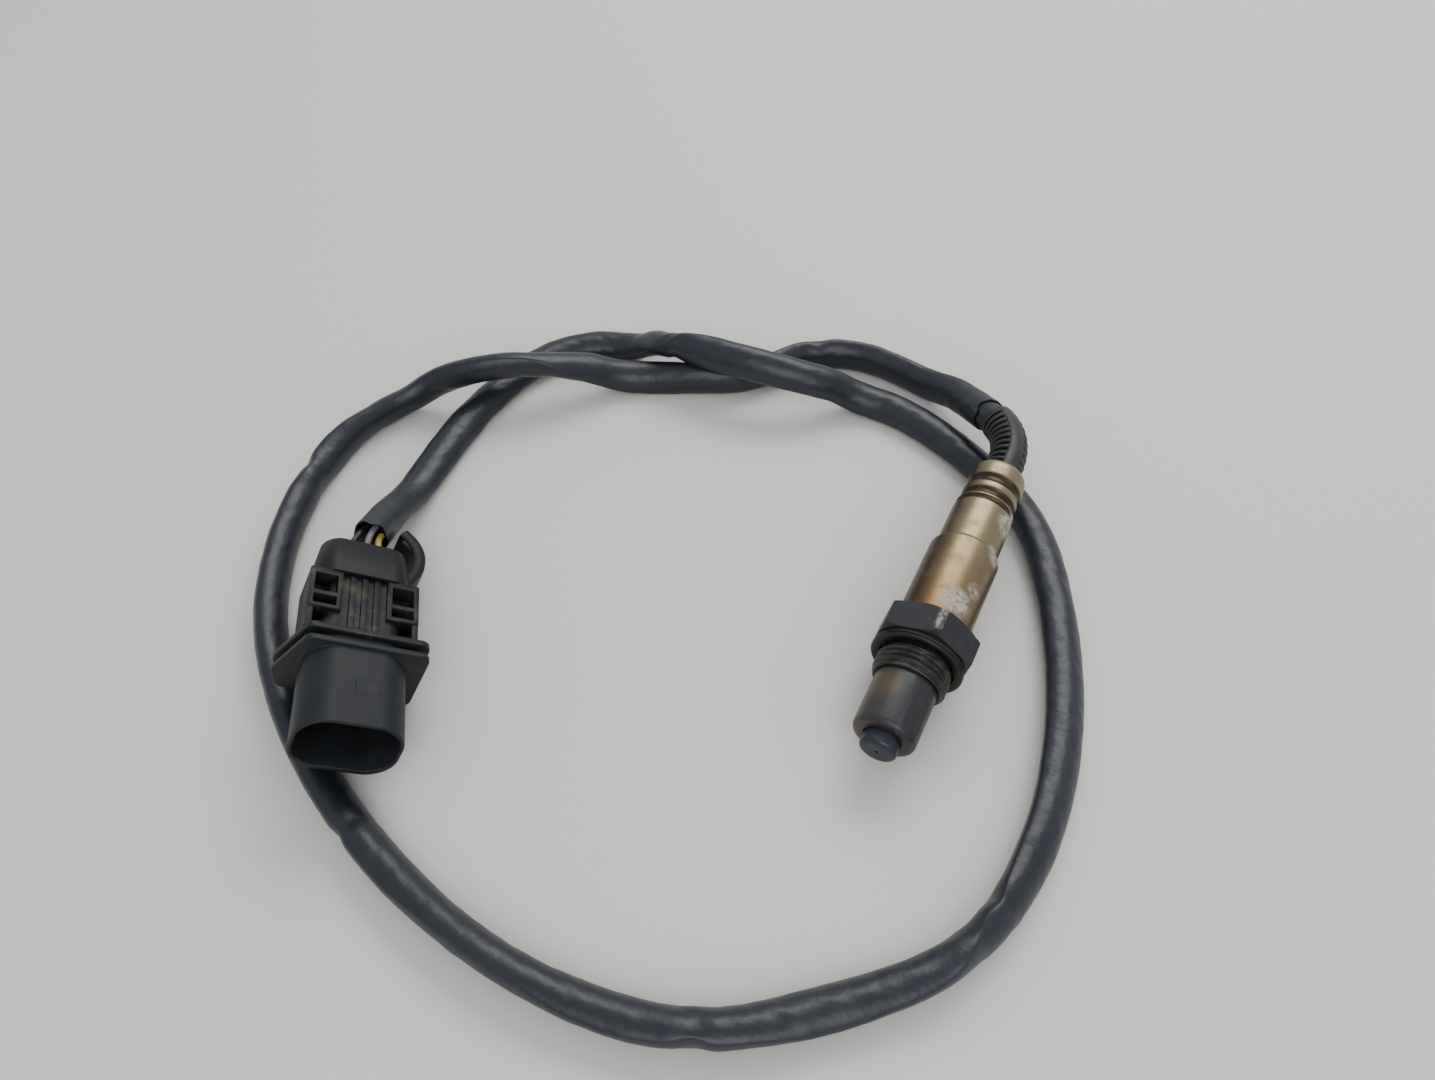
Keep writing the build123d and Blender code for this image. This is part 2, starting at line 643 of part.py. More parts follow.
for number, place in enumerate(pin_places, start=1):
    with BuildPart() as pin_terminal:
        with BuildSketch(plug_frame.offset(-mat_front)):
            with Locations(place):
                Circle(terminal_radius)
        extrude(amount=mat_front + cavity_floor)
        with BuildSketch(plug_frame.offset(cavity_floor)):
            with Locations(place):
                Circle(pin_radius)
        extrude(amount=pin_reach)
        pin_edges = pin_terminal.edges().filter_by(GeomType.CIRCLE).sort_by(Axis(plug_frame.origin, plug_out))
        chamfer(pin_edges[-1], pin_chamfer)
    pin_terminal.part.label = f"pin_terminal_{number}"
    export_step(pin_terminal.part, f"parts/pin_terminal_{number}.step")

with BuildPart() as rear_seal_mat:
    with BuildSketch(plug_frame.offset(-body_back)):
        RectangleRounded(bore_width - 2 * clearance, bore_height - 2 * clearance, bore_corner - clearance)
        with Locations(*pin_places[:lead_count]):
            Circle(lead_radius + clearance, mode=Mode.SUBTRACT)
    extrude(amount=seal_mat_thickness)
rear_seal_mat.part.label = "rear_seal_mat"
export_step(rear_seal_mat.part, "parts/rear_seal_mat.step")

with BuildPart() as trim_resistor:
    with BuildSketch(plug_frame.offset(-body_back)):
        with Locations(pin_places[-1]):
            RectangleRounded(resistor_size[0], resistor_size[1], resistor_corner)
    extrude(amount=-resistor_size[2])
trim_resistor.part.label = "trim_resistor"
export_step(trim_resistor.part, "parts/trim_resistor.step")

# Rear cap: slipped over the body's end, open at the back for the leads, with an arm round to the sleeve
cap_inside = (body_width + 2 * clearance, body_height + 2 * clearance)
cap_height = cap_inside[1] + 2 * cap_wall
cap_back = cap_start + cap_length
with BuildPart() as rear_cap:
    with BuildSketch(plug_frame.offset(-cap_start)):
        RectangleRounded(cap_width, cap_height, cap_corner)
    extrude(amount=-cap_length / 2)
    with BuildSketch(plug_frame.offset(-cap_start - cap_length / 2)):
        RectangleRounded(cap_width, cap_height, cap_corner)
    with BuildSketch(plug_frame.offset(-cap_back)):
        RectangleRounded(cap_width - cap_taper, cap_height - cap_taper / 2, cap_corner)
    loft()
    with BuildLine():
        arm_line = Spline(*[plug_frame.from_local_coords((x, arm_middle, -z)) for x, z in arm_points])
    with BuildSketch(Plane(origin=arm_line @ 0, x_dir=plug_frame.y_dir, z_dir=arm_line % 0)):
        RectangleRounded(arm_height, arm_thickness, arm_corner)
    sweep(path=arm_line)
    with BuildSketch(plug_frame.offset(-cap_start)):
        RectangleRounded(*cap_inside, body_corner + clearance)
    extrude(amount=-(cap_length - cap_wall), mode=Mode.SUBTRACT)
    with BuildSketch(plug_frame.offset(-cap_back)):
        with Locations(cap_opening_place):
            RectangleRounded(*cap_opening, cap_opening_corner)
    extrude(amount=cap_wall, mode=Mode.SUBTRACT)
rear_cap.part.label = "rear_cap"
export_step(rear_cap.part, "parts/rear_cap.step")

# Cable
boot_line = boot_path()
boot_end = boot_line @ 1
line_corners = [boot_end, boot_end + (boot_line % 1) * sleeve_start, *[Vector(*p) for p in cable_corners],
                Vector(*sleeve_end)]
runs = [b - a for a, b in zip(line_corners, line_corners[1:])]
bend_radii = []
for before, after in zip(runs, runs[1:]):
    turn = radians(before.get_angle(after))
    bend_radii.append(fillet_share * min(before.length, after.length) / tan(turn / 2))
print("bend radii", [round(r, 1) for r in bend_radii])

with BuildPart() as cable_sleeve:
    with BuildLine() as sleeve_line:
        FilletPolyline(*line_corners, radius=bend_radii)
    with BuildSketch(Plane(origin=boot_end, z_dir=runs[0])):
        Circle(sleeve_diameter / 2)
    sweep(path=sleeve_line.wires()[0])
cable_sleeve.part.label = "cable_sleeve"
export_step(cable_sleeve.part, "parts/cable_sleeve.step")
sleeve_length = sleeve_line.wires()[0].length
print("sleeve length", round(sleeve_length, 1), "volume share",
      round(cable_sleeve.part.volume / (pi * sleeve_diameter ** 2 / 4 * sleeve_length), 4))

# Leads from the terminals through the seal mat, gathered into the sleeve's end
sleeve_mouth = Plane(origin=sleeve_end, x_dir=plug_right, z_dir=runs[-1])
for number, (place, hole) in enumerate(zip(pin_places, lead_holes), start=1):
    mat_exit = plug_frame.from_local_coords((*place, -body_back - lead_straight))
    gathered = sleeve_mouth.from_local_coords((*hole, 0))
    with BuildPart() as plug_lead:
        with BuildLine() as lead_line:
            start_run = Line(plug_frame.from_local_coords((*place, -mat_front)), mat_exit)
            Spline(start_run @ 1, gathered, tangents=(-plug_out, -sleeve_mouth.z_dir), tangent_scalars=(1.2, 0.8))
        with BuildSketch(plug_frame.offset(-mat_front)):
            with Locations(place):
                Circle(lead_radius)
        sweep(path=lead_line.wires()[0])
    plug_lead.part.label = f"plug_lead_{number}"
    export_step(plug_lead.part, f"parts/plug_lead_{number}.step")
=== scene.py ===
import json
import math

import bmesh
import bpy
import numpy as np
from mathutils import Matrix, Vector


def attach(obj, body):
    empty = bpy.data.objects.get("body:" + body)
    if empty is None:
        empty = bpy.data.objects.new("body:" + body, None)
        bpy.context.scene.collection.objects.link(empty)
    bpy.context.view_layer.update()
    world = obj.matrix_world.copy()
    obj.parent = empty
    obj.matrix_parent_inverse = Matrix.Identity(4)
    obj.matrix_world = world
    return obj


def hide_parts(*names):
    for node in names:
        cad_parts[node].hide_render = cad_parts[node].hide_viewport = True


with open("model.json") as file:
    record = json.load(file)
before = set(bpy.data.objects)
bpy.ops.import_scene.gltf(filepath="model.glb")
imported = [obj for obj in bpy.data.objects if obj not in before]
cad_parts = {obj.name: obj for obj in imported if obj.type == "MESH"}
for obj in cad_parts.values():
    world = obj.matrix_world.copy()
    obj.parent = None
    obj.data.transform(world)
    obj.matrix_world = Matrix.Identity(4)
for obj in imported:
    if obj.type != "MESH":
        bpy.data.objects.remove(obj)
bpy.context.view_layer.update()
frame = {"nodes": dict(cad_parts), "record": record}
nodes = frame["nodes"]
print("frame loaded,", len(nodes), "nodes")

# Directions of the head: it lies a few degrees nose-down, its axis along Y
tilt = math.radians(4.0)
headDir = np.array([0.0, math.cos(tilt), math.sin(tilt)])
headUp = np.array([0.0, -math.sin(tilt), math.cos(tilt)])
headSide = np.array([-1.0, 0.0, 0.0])
headOrigin = np.array([0.0, -9.5155, 12.9294])


def onHead(station, radius=0.0, angle=0.0):
    # a point of the head in millimetres, the angle counted from the left side upwards
    around = headSide * math.cos(angle) + headUp * math.sin(angle)
    return headOrigin + headDir * station + around * radius


# Camera, floor and light
studio = {
    "cameraPlace": (0.02264, -0.16743, 0.22135),
    "cameraAim": (-0.29325, 0.58458, -0.75649),
    "lens": 27.07,
    "floorSize": 6.0,
    "floorColour": (0.68, 0.655, 0.61),
    "floorRoughness": 0.65,
    "skyColour": (0.89, 0.945, 1.0),
    "skyStrength": 0.75,
    # name, place, target, size, power and colour
    "lights": [
        ("windowLight", (-0.10, 0.80, 0.90), (-0.05, 0.0, 0.0), (0.9, 0.5), 8.0, (1.0, 0.985, 0.96)),
        ("fillLight", (0.40, -0.75, 0.80), (0.0, -0.05, 0.0), (0.8, 0.8), 6.0, (0.97, 0.985, 1.0)),
    ],
}

camera = bpy.data.objects.new("studioCamera", bpy.data.cameras.new("studioCamera"))
bpy.context.scene.collection.objects.link(camera)
camera.data.lens = studio["lens"]
camera.data.sensor_width = 36.0
camera.data.clip_start = 0.005
camera.location = studio["cameraPlace"]
camera.rotation_euler = Vector(studio["cameraAim"]).to_track_quat("-Z", "Y").to_euler()
bpy.context.scene.camera = camera

world = bpy.data.worlds.new("studioWorld")
bpy.context.scene.world = world
world.use_nodes = True
sky = world.node_tree.nodes["Background"].inputs
sky["Color"].default_value = (*studio["skyColour"], 1.0)
sky["Strength"].default_value = studio["skyStrength"]


def areaLight(name, place, target, size, power, colour):
    lamp = bpy.data.lights.new(name, "AREA")
    lamp.shape = "RECTANGLE"
    lamp.size, lamp.size_y = size
    lamp.energy = power
    lamp.color = colour
    holder = bpy.data.objects.new(name, lamp)
    bpy.context.scene.collection.objects.link(holder)
    holder.location = place
    holder.rotation_euler = (Vector(target) - Vector(place)).to_track_quat("-Z", "Y").to_euler()


for light in studio["lights"]:
    areaLight(*light)


# Shader expressions
class Field:
    # a shader socket that takes part in arithmetic
    def __init__(self, graph, socket):
        self.graph = graph
        self.socket = socket

    def maths(self, operation, *values):
        return self.graph.node("ShaderNodeMath", {"operation": operation}, *values)

    def __add__(self, other):
        return self.maths("ADD", self, other)

    def __radd__(self, other):
        return self.maths("ADD", other, self)

    def __sub__(self, other):
        return self.maths("SUBTRACT", self, other)

    def __rsub__(self, other):
        return self.maths("SUBTRACT", other, self)

    def __mul__(self, other):
        return self.maths("MULTIPLY", self, other)

    def __rmul__(self, other):
        return self.maths("MULTIPLY", other, self)

    def __truediv__(self, other):
        return self.maths("DIVIDE", self, other)

    def __rtruediv__(self, other):
        return self.maths("DIVIDE", other, self)

    def larger(self, other):
        return self.maths("MAXIMUM", self, other)

    def between(self, low, high):
        # 0 below low, 1 above high, smooth between them
        settings = {"interpolation_type": "SMOOTHSTEP"}
        return self.graph.node("ShaderNodeMapRange", settings, self, low, high, 0.0, 1.0)


class Graph:
    def __init__(self, material):
        self.tree = material.node_tree
        self.shader = self.tree.nodes["Principled BSDF"]
        self.place = self.node("ShaderNodeTexCoord", {}, out="Object")

    def feed(self, socket, value):
        if isinstance(value, Field):
            self.tree.links.new(value.socket, socket)
        elif hasattr(socket, "default_value"):
            if hasattr(value, "__len__") and len(value) == 3 and socket.type == "RGBA":
                value = (*value, 1.0)
            socket.default_value = value

    def node(self, kind, settings, *values, out=0, named=None):
        made = self.tree.nodes.new(kind)
        for key, value in settings.items():
            if key == "stops":
                ramp = made.color_ramp
                while len(ramp.elements) < len(value):
                    ramp.elements.new(0.5)
                for element, (where, colour) in zip(ramp.elements, value):
                    element.position = where
                    element.color = (*colour, 1.0)
            else:
                setattr(made, key, value)
        for index, value in enumerate(values):
            self.feed(made.inputs[index], value)
        for key, value in (named or {}).items():
            self.feed(made.inputs[key], value)
        return Field(self, made.outputs[out])

    def vector(self, operation, other, out=0):
        return self.node("ShaderNodeVectorMath", {"operation": operation}, self.place, tuple(other), out=out)

    def noise(self, scale, detail=3.0, rough=0.55, stretch=None):
        place = self.vector("MULTIPLY", stretch) if stretch else self.place
        wires = {"Vector": place, "Scale": scale, "Detail": detail, "Roughness": rough}
        return self.node("ShaderNodeTexNoise", {}, named=wires)

    def along(self, direction, offset=0.0):
        # distance along a direction, in metres
        reach = self.vector("DOT_PRODUCT", direction, "Value")
        return reach - offset

    def near(self, centre, radius, soft):
        # 1 within a radius of a point, falling to 0 over the soft width
        gap = self.vector("DISTANCE", centre, "Value")
        return 1.0 - gap.between(radius, radius + soft)

    def mix(self, factor, first, second):
        wires = {0: factor, 6: first, 7: second}
        return self.node("ShaderNodeMix", {"data_type": "RGBA"}, out=2, named=wires)

    def ramp(self, value, stops):
        return self.node("ShaderNodeValToRGB", {"stops": stops}, value)

    def bump(self, height, strength, distance):
        wires = {"Strength": strength, "Distance": distance, "Height": height}
        return self.node("ShaderNodeBump", {}, named=wires)

    def set(self, **sockets):
        for key, value in sockets.items():
            self.feed(self.shader.inputs[key.replace("_", " ")], value)


def newMaterial(name):
    material = bpy.data.materials.new(name)
    material.use_nodes = True
    return material, Graph(material)


def dress(node, material):
    data = nodes[node].data
    data.materials.clear()
    data.materials.append(material)


def finishPiece(name, points, faces, material, smooth=True, node=None, sharpAngle=38.0):
    # a mesh in metres from points in millimetres, riding on the object
    mesh = bpy.data.meshes.new(name)
    mesh.from_pydata([tuple(float(v) / 1000.0 for v in p) for p in points], [], faces)
    mesh.validate()
    shape = bmesh.new()
    shape.from_mesh(mesh)
    bmesh.ops.remove_doubles(shape, verts=shape.verts, dist=1e-7)
    bmesh.ops.recalc_face_normals(shape, faces=shape.faces)
    for edge in shape.edges:
        if len(edge.link_faces) == 2 and edge.calc_face_angle(0.0) > math.radians(sharpAngle):
            edge.smooth = False
    shape.to_mesh(mesh)
    shape.free()
    for polygon in mesh.polygons:
        polygon.use_smooth = smooth
    mesh.materials.append(material)
    piece = bpy.data.objects.new(name, mesh)
    bpy.context.scene.collection.objects.link(piece)
    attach(piece, "root")
    if node:
        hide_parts(*([node] if isinstance(node, str) else node))
    return piece


def gridFaces(rows, columns, wrapRows=False):
    # faces of a grid that closes round its columns
    faces = []
    for row in range(rows if wrapRows else rows - 1):
        after = (row + 1) % rows
        for column in range(columns):
            beside = (column + 1) % columns
            faces.append((row * columns + column, row * columns + beside, after * columns + beside,
                          after * columns + column))
    return faces


def closeEnds(points, faces, sides, ends):
    # a fan of triangles from each end row to its middle
    for row, middle in ends:
        points.append(middle)
        for column in range(sides):
            beside = (column + 1) % sides
            faces.append((row * sides + column, row * sides + beside, len(points) - 1))


# The cable's line
cable = {
    "diameter": 9.2,
    "route": [
        (-12.0, 70.3, 13.1), (-22.1, 79.2, 9.3), (-38.1, 86.2, 5.0), (-57.9, 87.8, 4.7),
        (-72.9, 79.4, 4.7), (-81.3, 62.3, 4.7), (-98.0, 54.2, 4.7), (-117.8, 46.7, 6.0),
        (-136.0, 30.2, 14.8), (-151.8, 19.0, 14.8), (-166.4, 12.3, 7.0), (-175.3, -7.9, 4.7),
        (-172.6, -32.3, 4.7), (-162.6, -56.0, 4.7), (-146.6, -77.6, 4.7), (-123.5, -95.1, 4.7),
        (-97.0, -108.0, 4.7), (-67.8, -116.7, 4.7), (-40.2, -119.1, 4.7), (-11.2, -114.3, 4.7),
        (12.4, -96.9, 4.7), (33.7, -74.9, 4.7), (39.7, -45.1, 4.7), (36.5, -14.0, 4.7),
        (26.8, 16.4, 4.7), (11.1, 47.2, 4.7), (-19.7, 65.7, 4.7), (-46.7, 72.3, 4.7),
        (-68.2, 58.8, 14.8), (-101.0, 56.4, 14.8), (-121.7, 61.6, 5.5), (-139.0, 53.3, 4.7),
        (-146.5, 36.3, 4.7), (-148.7, 14.9, 4.7), (-147.0, -6.5, 4.7), (-143.6, -26.5, 6.8),
        (-138.4, -43.5, 12.5),
    ],
    "step": 1.0,
    "sides": 48,
    # half width and half thickness of the flattened section, and how blunt its folds are
    "wide": 5.0,
    "thin": 3.6,
    "blunt": 0.24,
    # rounder over these lengths at the boot and at the leads, with these half sizes
    "roundStart": 14.0,
    "roundEnd": 12.0,
    "roundWide": 4.75,
    "roundThin": 4.65,
    # heights of the faces' sag and creases, of the edges' wander and of the crinkle at the boot
    "sag": 0.16,
    "crease": 0.11,
    "wander": 0.09,
    "crinkle": 0.34,
    "crinkleLength": 9.0,
    # it lies on the floor up to this centre height and hangs free above the rest
    "lyingHeight": 5.4,
    "freeOver": 3.5,
    "sink": 0.02,
    # how far its two ragged ends reach, how uneven they are, and how deep the lining turns in
    "startReach": -2.2,
    "endReach": 1.8,
    "ragged": 1.15,
    "startLining": 1.0,
    "endLining": 3.0,
    # how far the flattened section leans over, in degrees, at distances along the line
    "leans": [
        (0, 114), (30, 96), (58, 98), (62, 84), (67, 100), (89, 100), (104, 106), (119, 141),
        (134, 152), (144, 185), (151, 232), (159, 244), (169, 251), (179, 254), (186, 261), (193, 250),
        (198, 257), (204, 249), (210, 268), (218, 288), (225, 293), (228, 270), (233, 268), (238, 289),
        (248, 287), (270, 291), (298, 300), (327, 311), (342, 319), (345, 310), (350, 319), (362, 322),
        (372, 309), (385, 303), (397, 305), (407, 321), (417, 329), (427, 322), (432, 302), (436, 321),
        (442, 321), (448, 332), (456, 346), (466, 337), (476, 328), (483, 318), (491, 279), (496, 254),
        (500, 261), (506, 241), (514, 225), (526, 220), (541, 209), (570, 199), (595, 194), (617, 186),
        (628, 178), (655, 165), (670, 156), (685, 149), (714, 131), (729, 131), (738, 91), (743, 22),
        (752, -12), (766, -14), (779, 1), (791, -3), (804, -4), (819, -16), (834, -16), (849, -7),
        (863, -4), (878, -10),
    ],
    # knuckles where the sleeve is pinched: distance, depth and reach
    "knuckles": [
        (62.0, 0.16, 2.2), (151.0, 0.08, 4.0), (229.0, 0.14, 2.0), (346.0, 0.12, 2.0),
        (432.5, 0.16, 2.2), (437.0, -0.05, 2.0), (492.0, 0.14, 2.5), (501.0, 0.12, 1.8),
        (585.0, 0.06, 3.0), (742.0, 0.20, 2.6), (755.0, 0.10, 3.0), (770.0, -0.04, 4.0),
        (817.0, 0.10, 3.0),
    ],
}


def readLine(name, route):
    # points read from a smooth spline whose control points are the route's
    curve = bpy.data.curves.new(name, "CURVE")
    curve.dimensions = "3D"
    curve.resolution_u = 40
    spline = curve.splines.new("NURBS")
    spline.points.add(len(route) - 1)
    for point, place in zip(spline.points, route):
        point.co = (*[v / 1000.0 for v in place], 1.0)
    spline.order_u = 3
    spline.use_endpoint_u = True
    holder = bpy.data.objects.new(name, curve)
    bpy.context.scene.collection.objects.link(holder)
    bpy.context.view_layer.update()
    mesh = bpy.data.meshes.new_from_object(holder.evaluated_get(bpy.context.evaluated_depsgraph_get()))
    line = np.array([v.co for v in mesh.vertices], float) * 1000.0
    bpy.data.objects.remove(holder)
    bpy.data.meshes.remove(mesh)
    return line


def evenly(line, step):
    # the same line with points at even distances
    reach = np.r_[0.0, np.cumsum(np.linalg.norm(np.diff(line, axis=0), axis=1))]
    count = max(int(round(reach[-1] / step)), 2)
    spots = np.linspace(0.0, reach[-1], count + 1)
    return np.c_[tuple(np.interp(spots, reach, line[:, axis]) for axis in range(3))], spots


def lineTangents(line):
    tangents = np.gradient(line, axis=0)
    return tangents / np.linalg.norm(tangents, axis=1)[:, None]


def carriedFrames(line, firstSide):
    # sides and tops carried along a line without twisting
    tangents = lineTangents(line)
    side = np.array(firstSide, float)
    sides = []
    for tangent in tangents:
        side = side - tangent * side.dot(tangent)
        side /= np.linalg.norm(side)
        sides.append(side)
    sides = np.array(sides)
    return sides, np.cross(tangents, sides)


line = readLine("cableLine", cable["route"])
path, spots = evenly(line, cable["step"])
print("cable line", round(spots[-1], 1), "mm")


# Finishes
# a pale scuff down the hexagon's upper corner: stations, reach and turn, then its spots in metres
scuffMarks = {
    "stations": (-0.6, -1.6, -2.6, -3.6, -4.6, -5.4),
    "reach": 12.4,
    "turn": 100.9,
    "radius": 0.0004,
    "soft": 0.0011,
    "colour": (0.46, 0.44, 0.41),
}


def blackOxide():
    material, g = newMaterial("blackOxideSteel")
    grain = g.noise(900.0, 4.0)
    worn = g.noise(140.0, 5.0, 0.6).between(0.56, 0.72)
    dust = g.noise(55.0, 3.0).between(0.45, 0.75)
    base = g.mix(worn * 0.55, (0.025, 0.0255, 0.028), (0.075, 0.070, 0.065))
    scuff = None
    for station in scuffMarks["stations"]:
        place = onHead(station, scuffMarks["reach"], math.radians(scuffMarks["turn"])) / 1000.0
        spot = g.near(place, scuffMarks["radius"], scuffMarks["soft"])
        scuff = spot if scuff is None else scuff.larger(spot)
    scuff = scuff * g.noise(800.0, 4.0, 0.7).between(0.36, 0.60)
    dusted = g.mix(dust * 0.40, base, (0.090, 0.087, 0.084))
    g.set(Base_Color=g.mix(scuff * 0.75, dusted, scuffMarks["colour"]), Metallic=0.45,
          Roughness=0.40 + grain * 0.16 + dust * 0.10, Normal=g.bump(grain, 0.25, 0.0001))
    return material


def threadSteel():
    material, g = newMaterial("threadSteel")
    brass = g.noise(300.0, 5.0, 0.6).between(0.46, 0.66)
    base = g.mix(brass * 0.42, (0.038, 0.037, 0.037), (0.140, 0.112, 0.072))
    g.set(Base_Color=base, Metallic=0.7, Roughness=0.42 - brass * 0.06,
          Normal=g.bump(g.noise(1500.0), 0.3, 0.0001))
    return material


tubeMarks = {
    "brownFrom": 0.0,
    "brownTo": 0.0075,
    # burnt patch: station, reach and turn, then its radius and soft edge in metres
    "patch": (-21.0, 7.2, 55.0),
    "patchRadius": 0.0016,
    "patchSoft": 0.0040,
}


def heatedTube():
    # dark tube, brownish on its left and scratched along its length
    material, g = newMaterial("heatedTubeSteel")
    leftward = g.along(headSide).between(tubeMarks["brownFrom"], tubeMarks["brownTo"])
    scratch = g.noise(260.0, 3.0, 0.6, stretch=(3.0, 0.25, 1.0)).between(0.5, 0.8)
    station, reach, turn = tubeMarks["patch"]
    patch = onHead(station, reach, math.radians(turn)) / 1000.0
    burnt = g.near(patch, tubeMarks["patchRadius"], tubeMarks["patchSoft"]) * 0.55
    base = g.mix(leftward * 0.55, (0.047, 0.047, 0.050), (0.110, 0.084, 0.062))
    base = g.mix(burnt, base, (0.135, 0.105, 0.060))
    g.set(Base_Color=g.mix(scratch * 0.4, base, (0.13, 0.127, 0.120)), Metallic=0.75,
          Roughness=0.36 + g.noise(300.0) * 0.16, Normal=g.bump(g.noise(900.0), 0.15, 0.0001))
    return material


def blueBlackNub():
    material, g = newMaterial("nubSteel")
    g.set(Base_Color=g.mix(g.noise(300.0), (0.026, 0.030, 0.043), (0.060, 0.064, 0.078)), Metallic=0.75,
          Roughness=0.34 + g.noise(500.0) * 0.15)
    return material


shellTints = {
    "shade": [(0.0, (0.235, 0.135, 0.065)), (0.16, (0.265, 0.180, 0.095)), (0.45, (0.285, 0.220, 0.125)),
              (0.72, (0.290, 0.235, 0.140)), (1.0, (0.300, 0.250, 0.155))],
    "length": 0.0536,
    # colours painted on the two sides, the left a brown heat tint with painted shade and the right painted
    # shade, and where they begin and end in metres from the axis
    "leftTintAndShade": (0.050, 0.030, 0.021),
    "leftTintAndShadeSpan": (0.0014, 0.0072),
    "rightPaintedShade": (0.150, 0.120, 0.082),
    "rightShadeSpan": (0.0040, 0.0090),
    "mottle": (0.190, 0.130, 0.068),
    "chalk": (0.66, 0.63, 0.57),
    # painted shade in the crimp grooves
    "groove": (0.048, 0.031, 0.023),
    # crimp grooves as shares of the length, and the width of their edges
    "grooves": [(0.717, 0.742), (0.757, 0.802), (0.846, 0.893)],
    "grooveEdge": 0.007,
    # chalky patches: place, radius and soft edge in millimetres
    "patches": [((6.6, 14.2, 18.6), 1.4, 2.4), ((3.4, -5.0, 20.6), 2.4, 2.8), ((6.6, 25.6, 18.4), 2.0, 2.8),
                ((7.4, 30.0, 17.2), 1.0, 2.0), ((5.6, 1.0, 19.2), 1.0, 2.0)],
}


def heatTintedSteel():
    # gold-brown steel with chalky patches: painted shade darkens both sides, the left also heat tinted, and
    # painted shade darkens the crimp grooves
    material, g = newMaterial("heatTintedSteel")
    offset = float(np.dot(headOrigin, headDir)) / 1000.0
    station = g.along(headDir, offset) / shellTints["length"]
    tint = g.ramp(station + (g.noise(120.0) - 0.5) * 0.12, shellTints["shade"])
    wander = (g.noise(90.0, 2.0) - 0.5) * 0.003
    # painted shade: both sides darkened where the round shell turns from the light, the left also browner
    # with heat tint
    leftward = (g.along(headSide) + wander).between(*shellTints["leftTintAndShadeSpan"])
    rightShade = (g.along(-headSide) + wander).between(*shellTints["rightShadeSpan"])
    tint = g.mix(leftward * 0.86, tint, shellTints["leftTintAndShade"])
    tint = g.mix(rightShade * 0.60, tint, shellTints["rightPaintedShade"])
    edge = shellTints["grooveEdge"]
    # painted shade: the colour darkened inside each crimp groove
    for start, end in shellTints["grooves"]:
        grooveShadeMask = station.between(start - edge, start) * (1.0 - station.between(end, end + edge))
        tint = g.mix(grooveShadeMask * 0.94, tint, shellTints["groove"])
    mottled = g.noise(230.0, 5.0, 0.62).between(0.45, 0.72)
    tint = g.mix(mottled * 0.40, tint, shellTints["mottle"])
    chalk = g.noise(600.0, 5.0, 0.7).between(0.32, 0.62)
    chalky = None
    for centre, radius, soft in shellTints["patches"]:
        spot = g.near([v / 1000.0 for v in centre], radius / 1000.0, soft / 1000.0) * chalk
        chalky = spot if chalky is None else chalky + spot
    tint = g.mix(chalky * 0.62, tint, shellTints["chalk"])
    lathe = g.noise(60.0, 3.0, 0.5, stretch=(1.0, 40.0, 1.0))
    roughness = 0.35 + mottled * 0.12 + chalky * 0.35 + lathe * 0.05
    g.set(Base_Color=tint, Metallic=1.0 - chalky * 0.6, Roughness=roughness,
          Normal=g.bump(lathe + chalky * 0.6, 0.18, 0.0001))
    return material


def sleevePlastic():
    material, g = newMaterial("sleevePlastic")
    broad = g.noise(35.0, 3.0)
    fine = g.noise(1300.0, 3.0)
    dusty = g.noise(160.0, 4.0, 0.6).between(0.52, 0.78)
    creases = g.noise(70.0, 4.0, 0.6)
    base = g.mix(broad.between(0.35, 0.7), (0.0085, 0.0105, 0.0165), (0.0135, 0.0160, 0.0235))
    relief = g.noise(420.0, 3.0) * 0.25 + fine * 0.06 + creases * 1.6
    g.set(Base_Color=g.mix(dusty * 0.3, base, (0.032, 0.034, 0.039)), Specular_IOR_Level=0.48,
          Roughness=0.33 + fine * 0.10 + dusty * 0.16, Normal=g.bump(relief, 0.5, 0.0006))
    return material


def bootRubber():
    material, g = newMaterial("bootRubber")
    dusty = g.noise(300.0, 4.0).between(0.5, 0.8)
    g.set(Base_Color=g.mix(dusty * 0.35, (0.010, 0.0105, 0.012), (0.035, 0.034, 0.033)),
          Roughness=0.38 + g.noise(700.0) * 0.14, Normal=g.bump(g.noise(900.0), 0.15, 0.0001))
    return material


def mouldedPlastic(name, dark, light, grime=None, grimeAmount=0.0):
    # filled nylon: fine grain, faint flow marks and, where given, grime in random patches
    material, g = newMaterial(name)
    grain = g.noise(1800.0, 2.0)
    scuff = g.noise(120.0, 5.0, 0.62, stretch=(1.0, 0.6, 1.0)).between(0.50, 0.78)
    base = g.mix(scuff * 0.6, dark, light)
    if grime:
        dirt = g.noise(190.0, 5.0, 0.65).between(0.50, 0.66) * grimeAmount
        base = g.mix(dirt, base, grime)
    g.set(Base_Color=base, Roughness=0.46 + scuff * 0.12 + grain * 0.06, Specular_IOR_Level=0.28,
          Normal=g.bump(grain, 0.10, 0.0001))
    return material


def plainFinish(name, colour, roughness, metallic=0.0, mottle=0.25, scale=400.0):
    material, g = newMaterial(name)
    darker = tuple(v * (1.0 - mottle) for v in colour)
    cloud = g.noise(scale, 4.0)
    g.set(Base_Color=g.mix(cloud, darker, colour), Metallic=metallic,
          Roughness=roughness + (cloud - 0.5) * 0.15, Normal=g.bump(cloud, 0.08, 0.0001))
    return material


def floorFinish(colour, roughness):
    material, g = newMaterial("paleFloor")
    g.set(Base_Color=colour, Roughness=roughness)
    return material


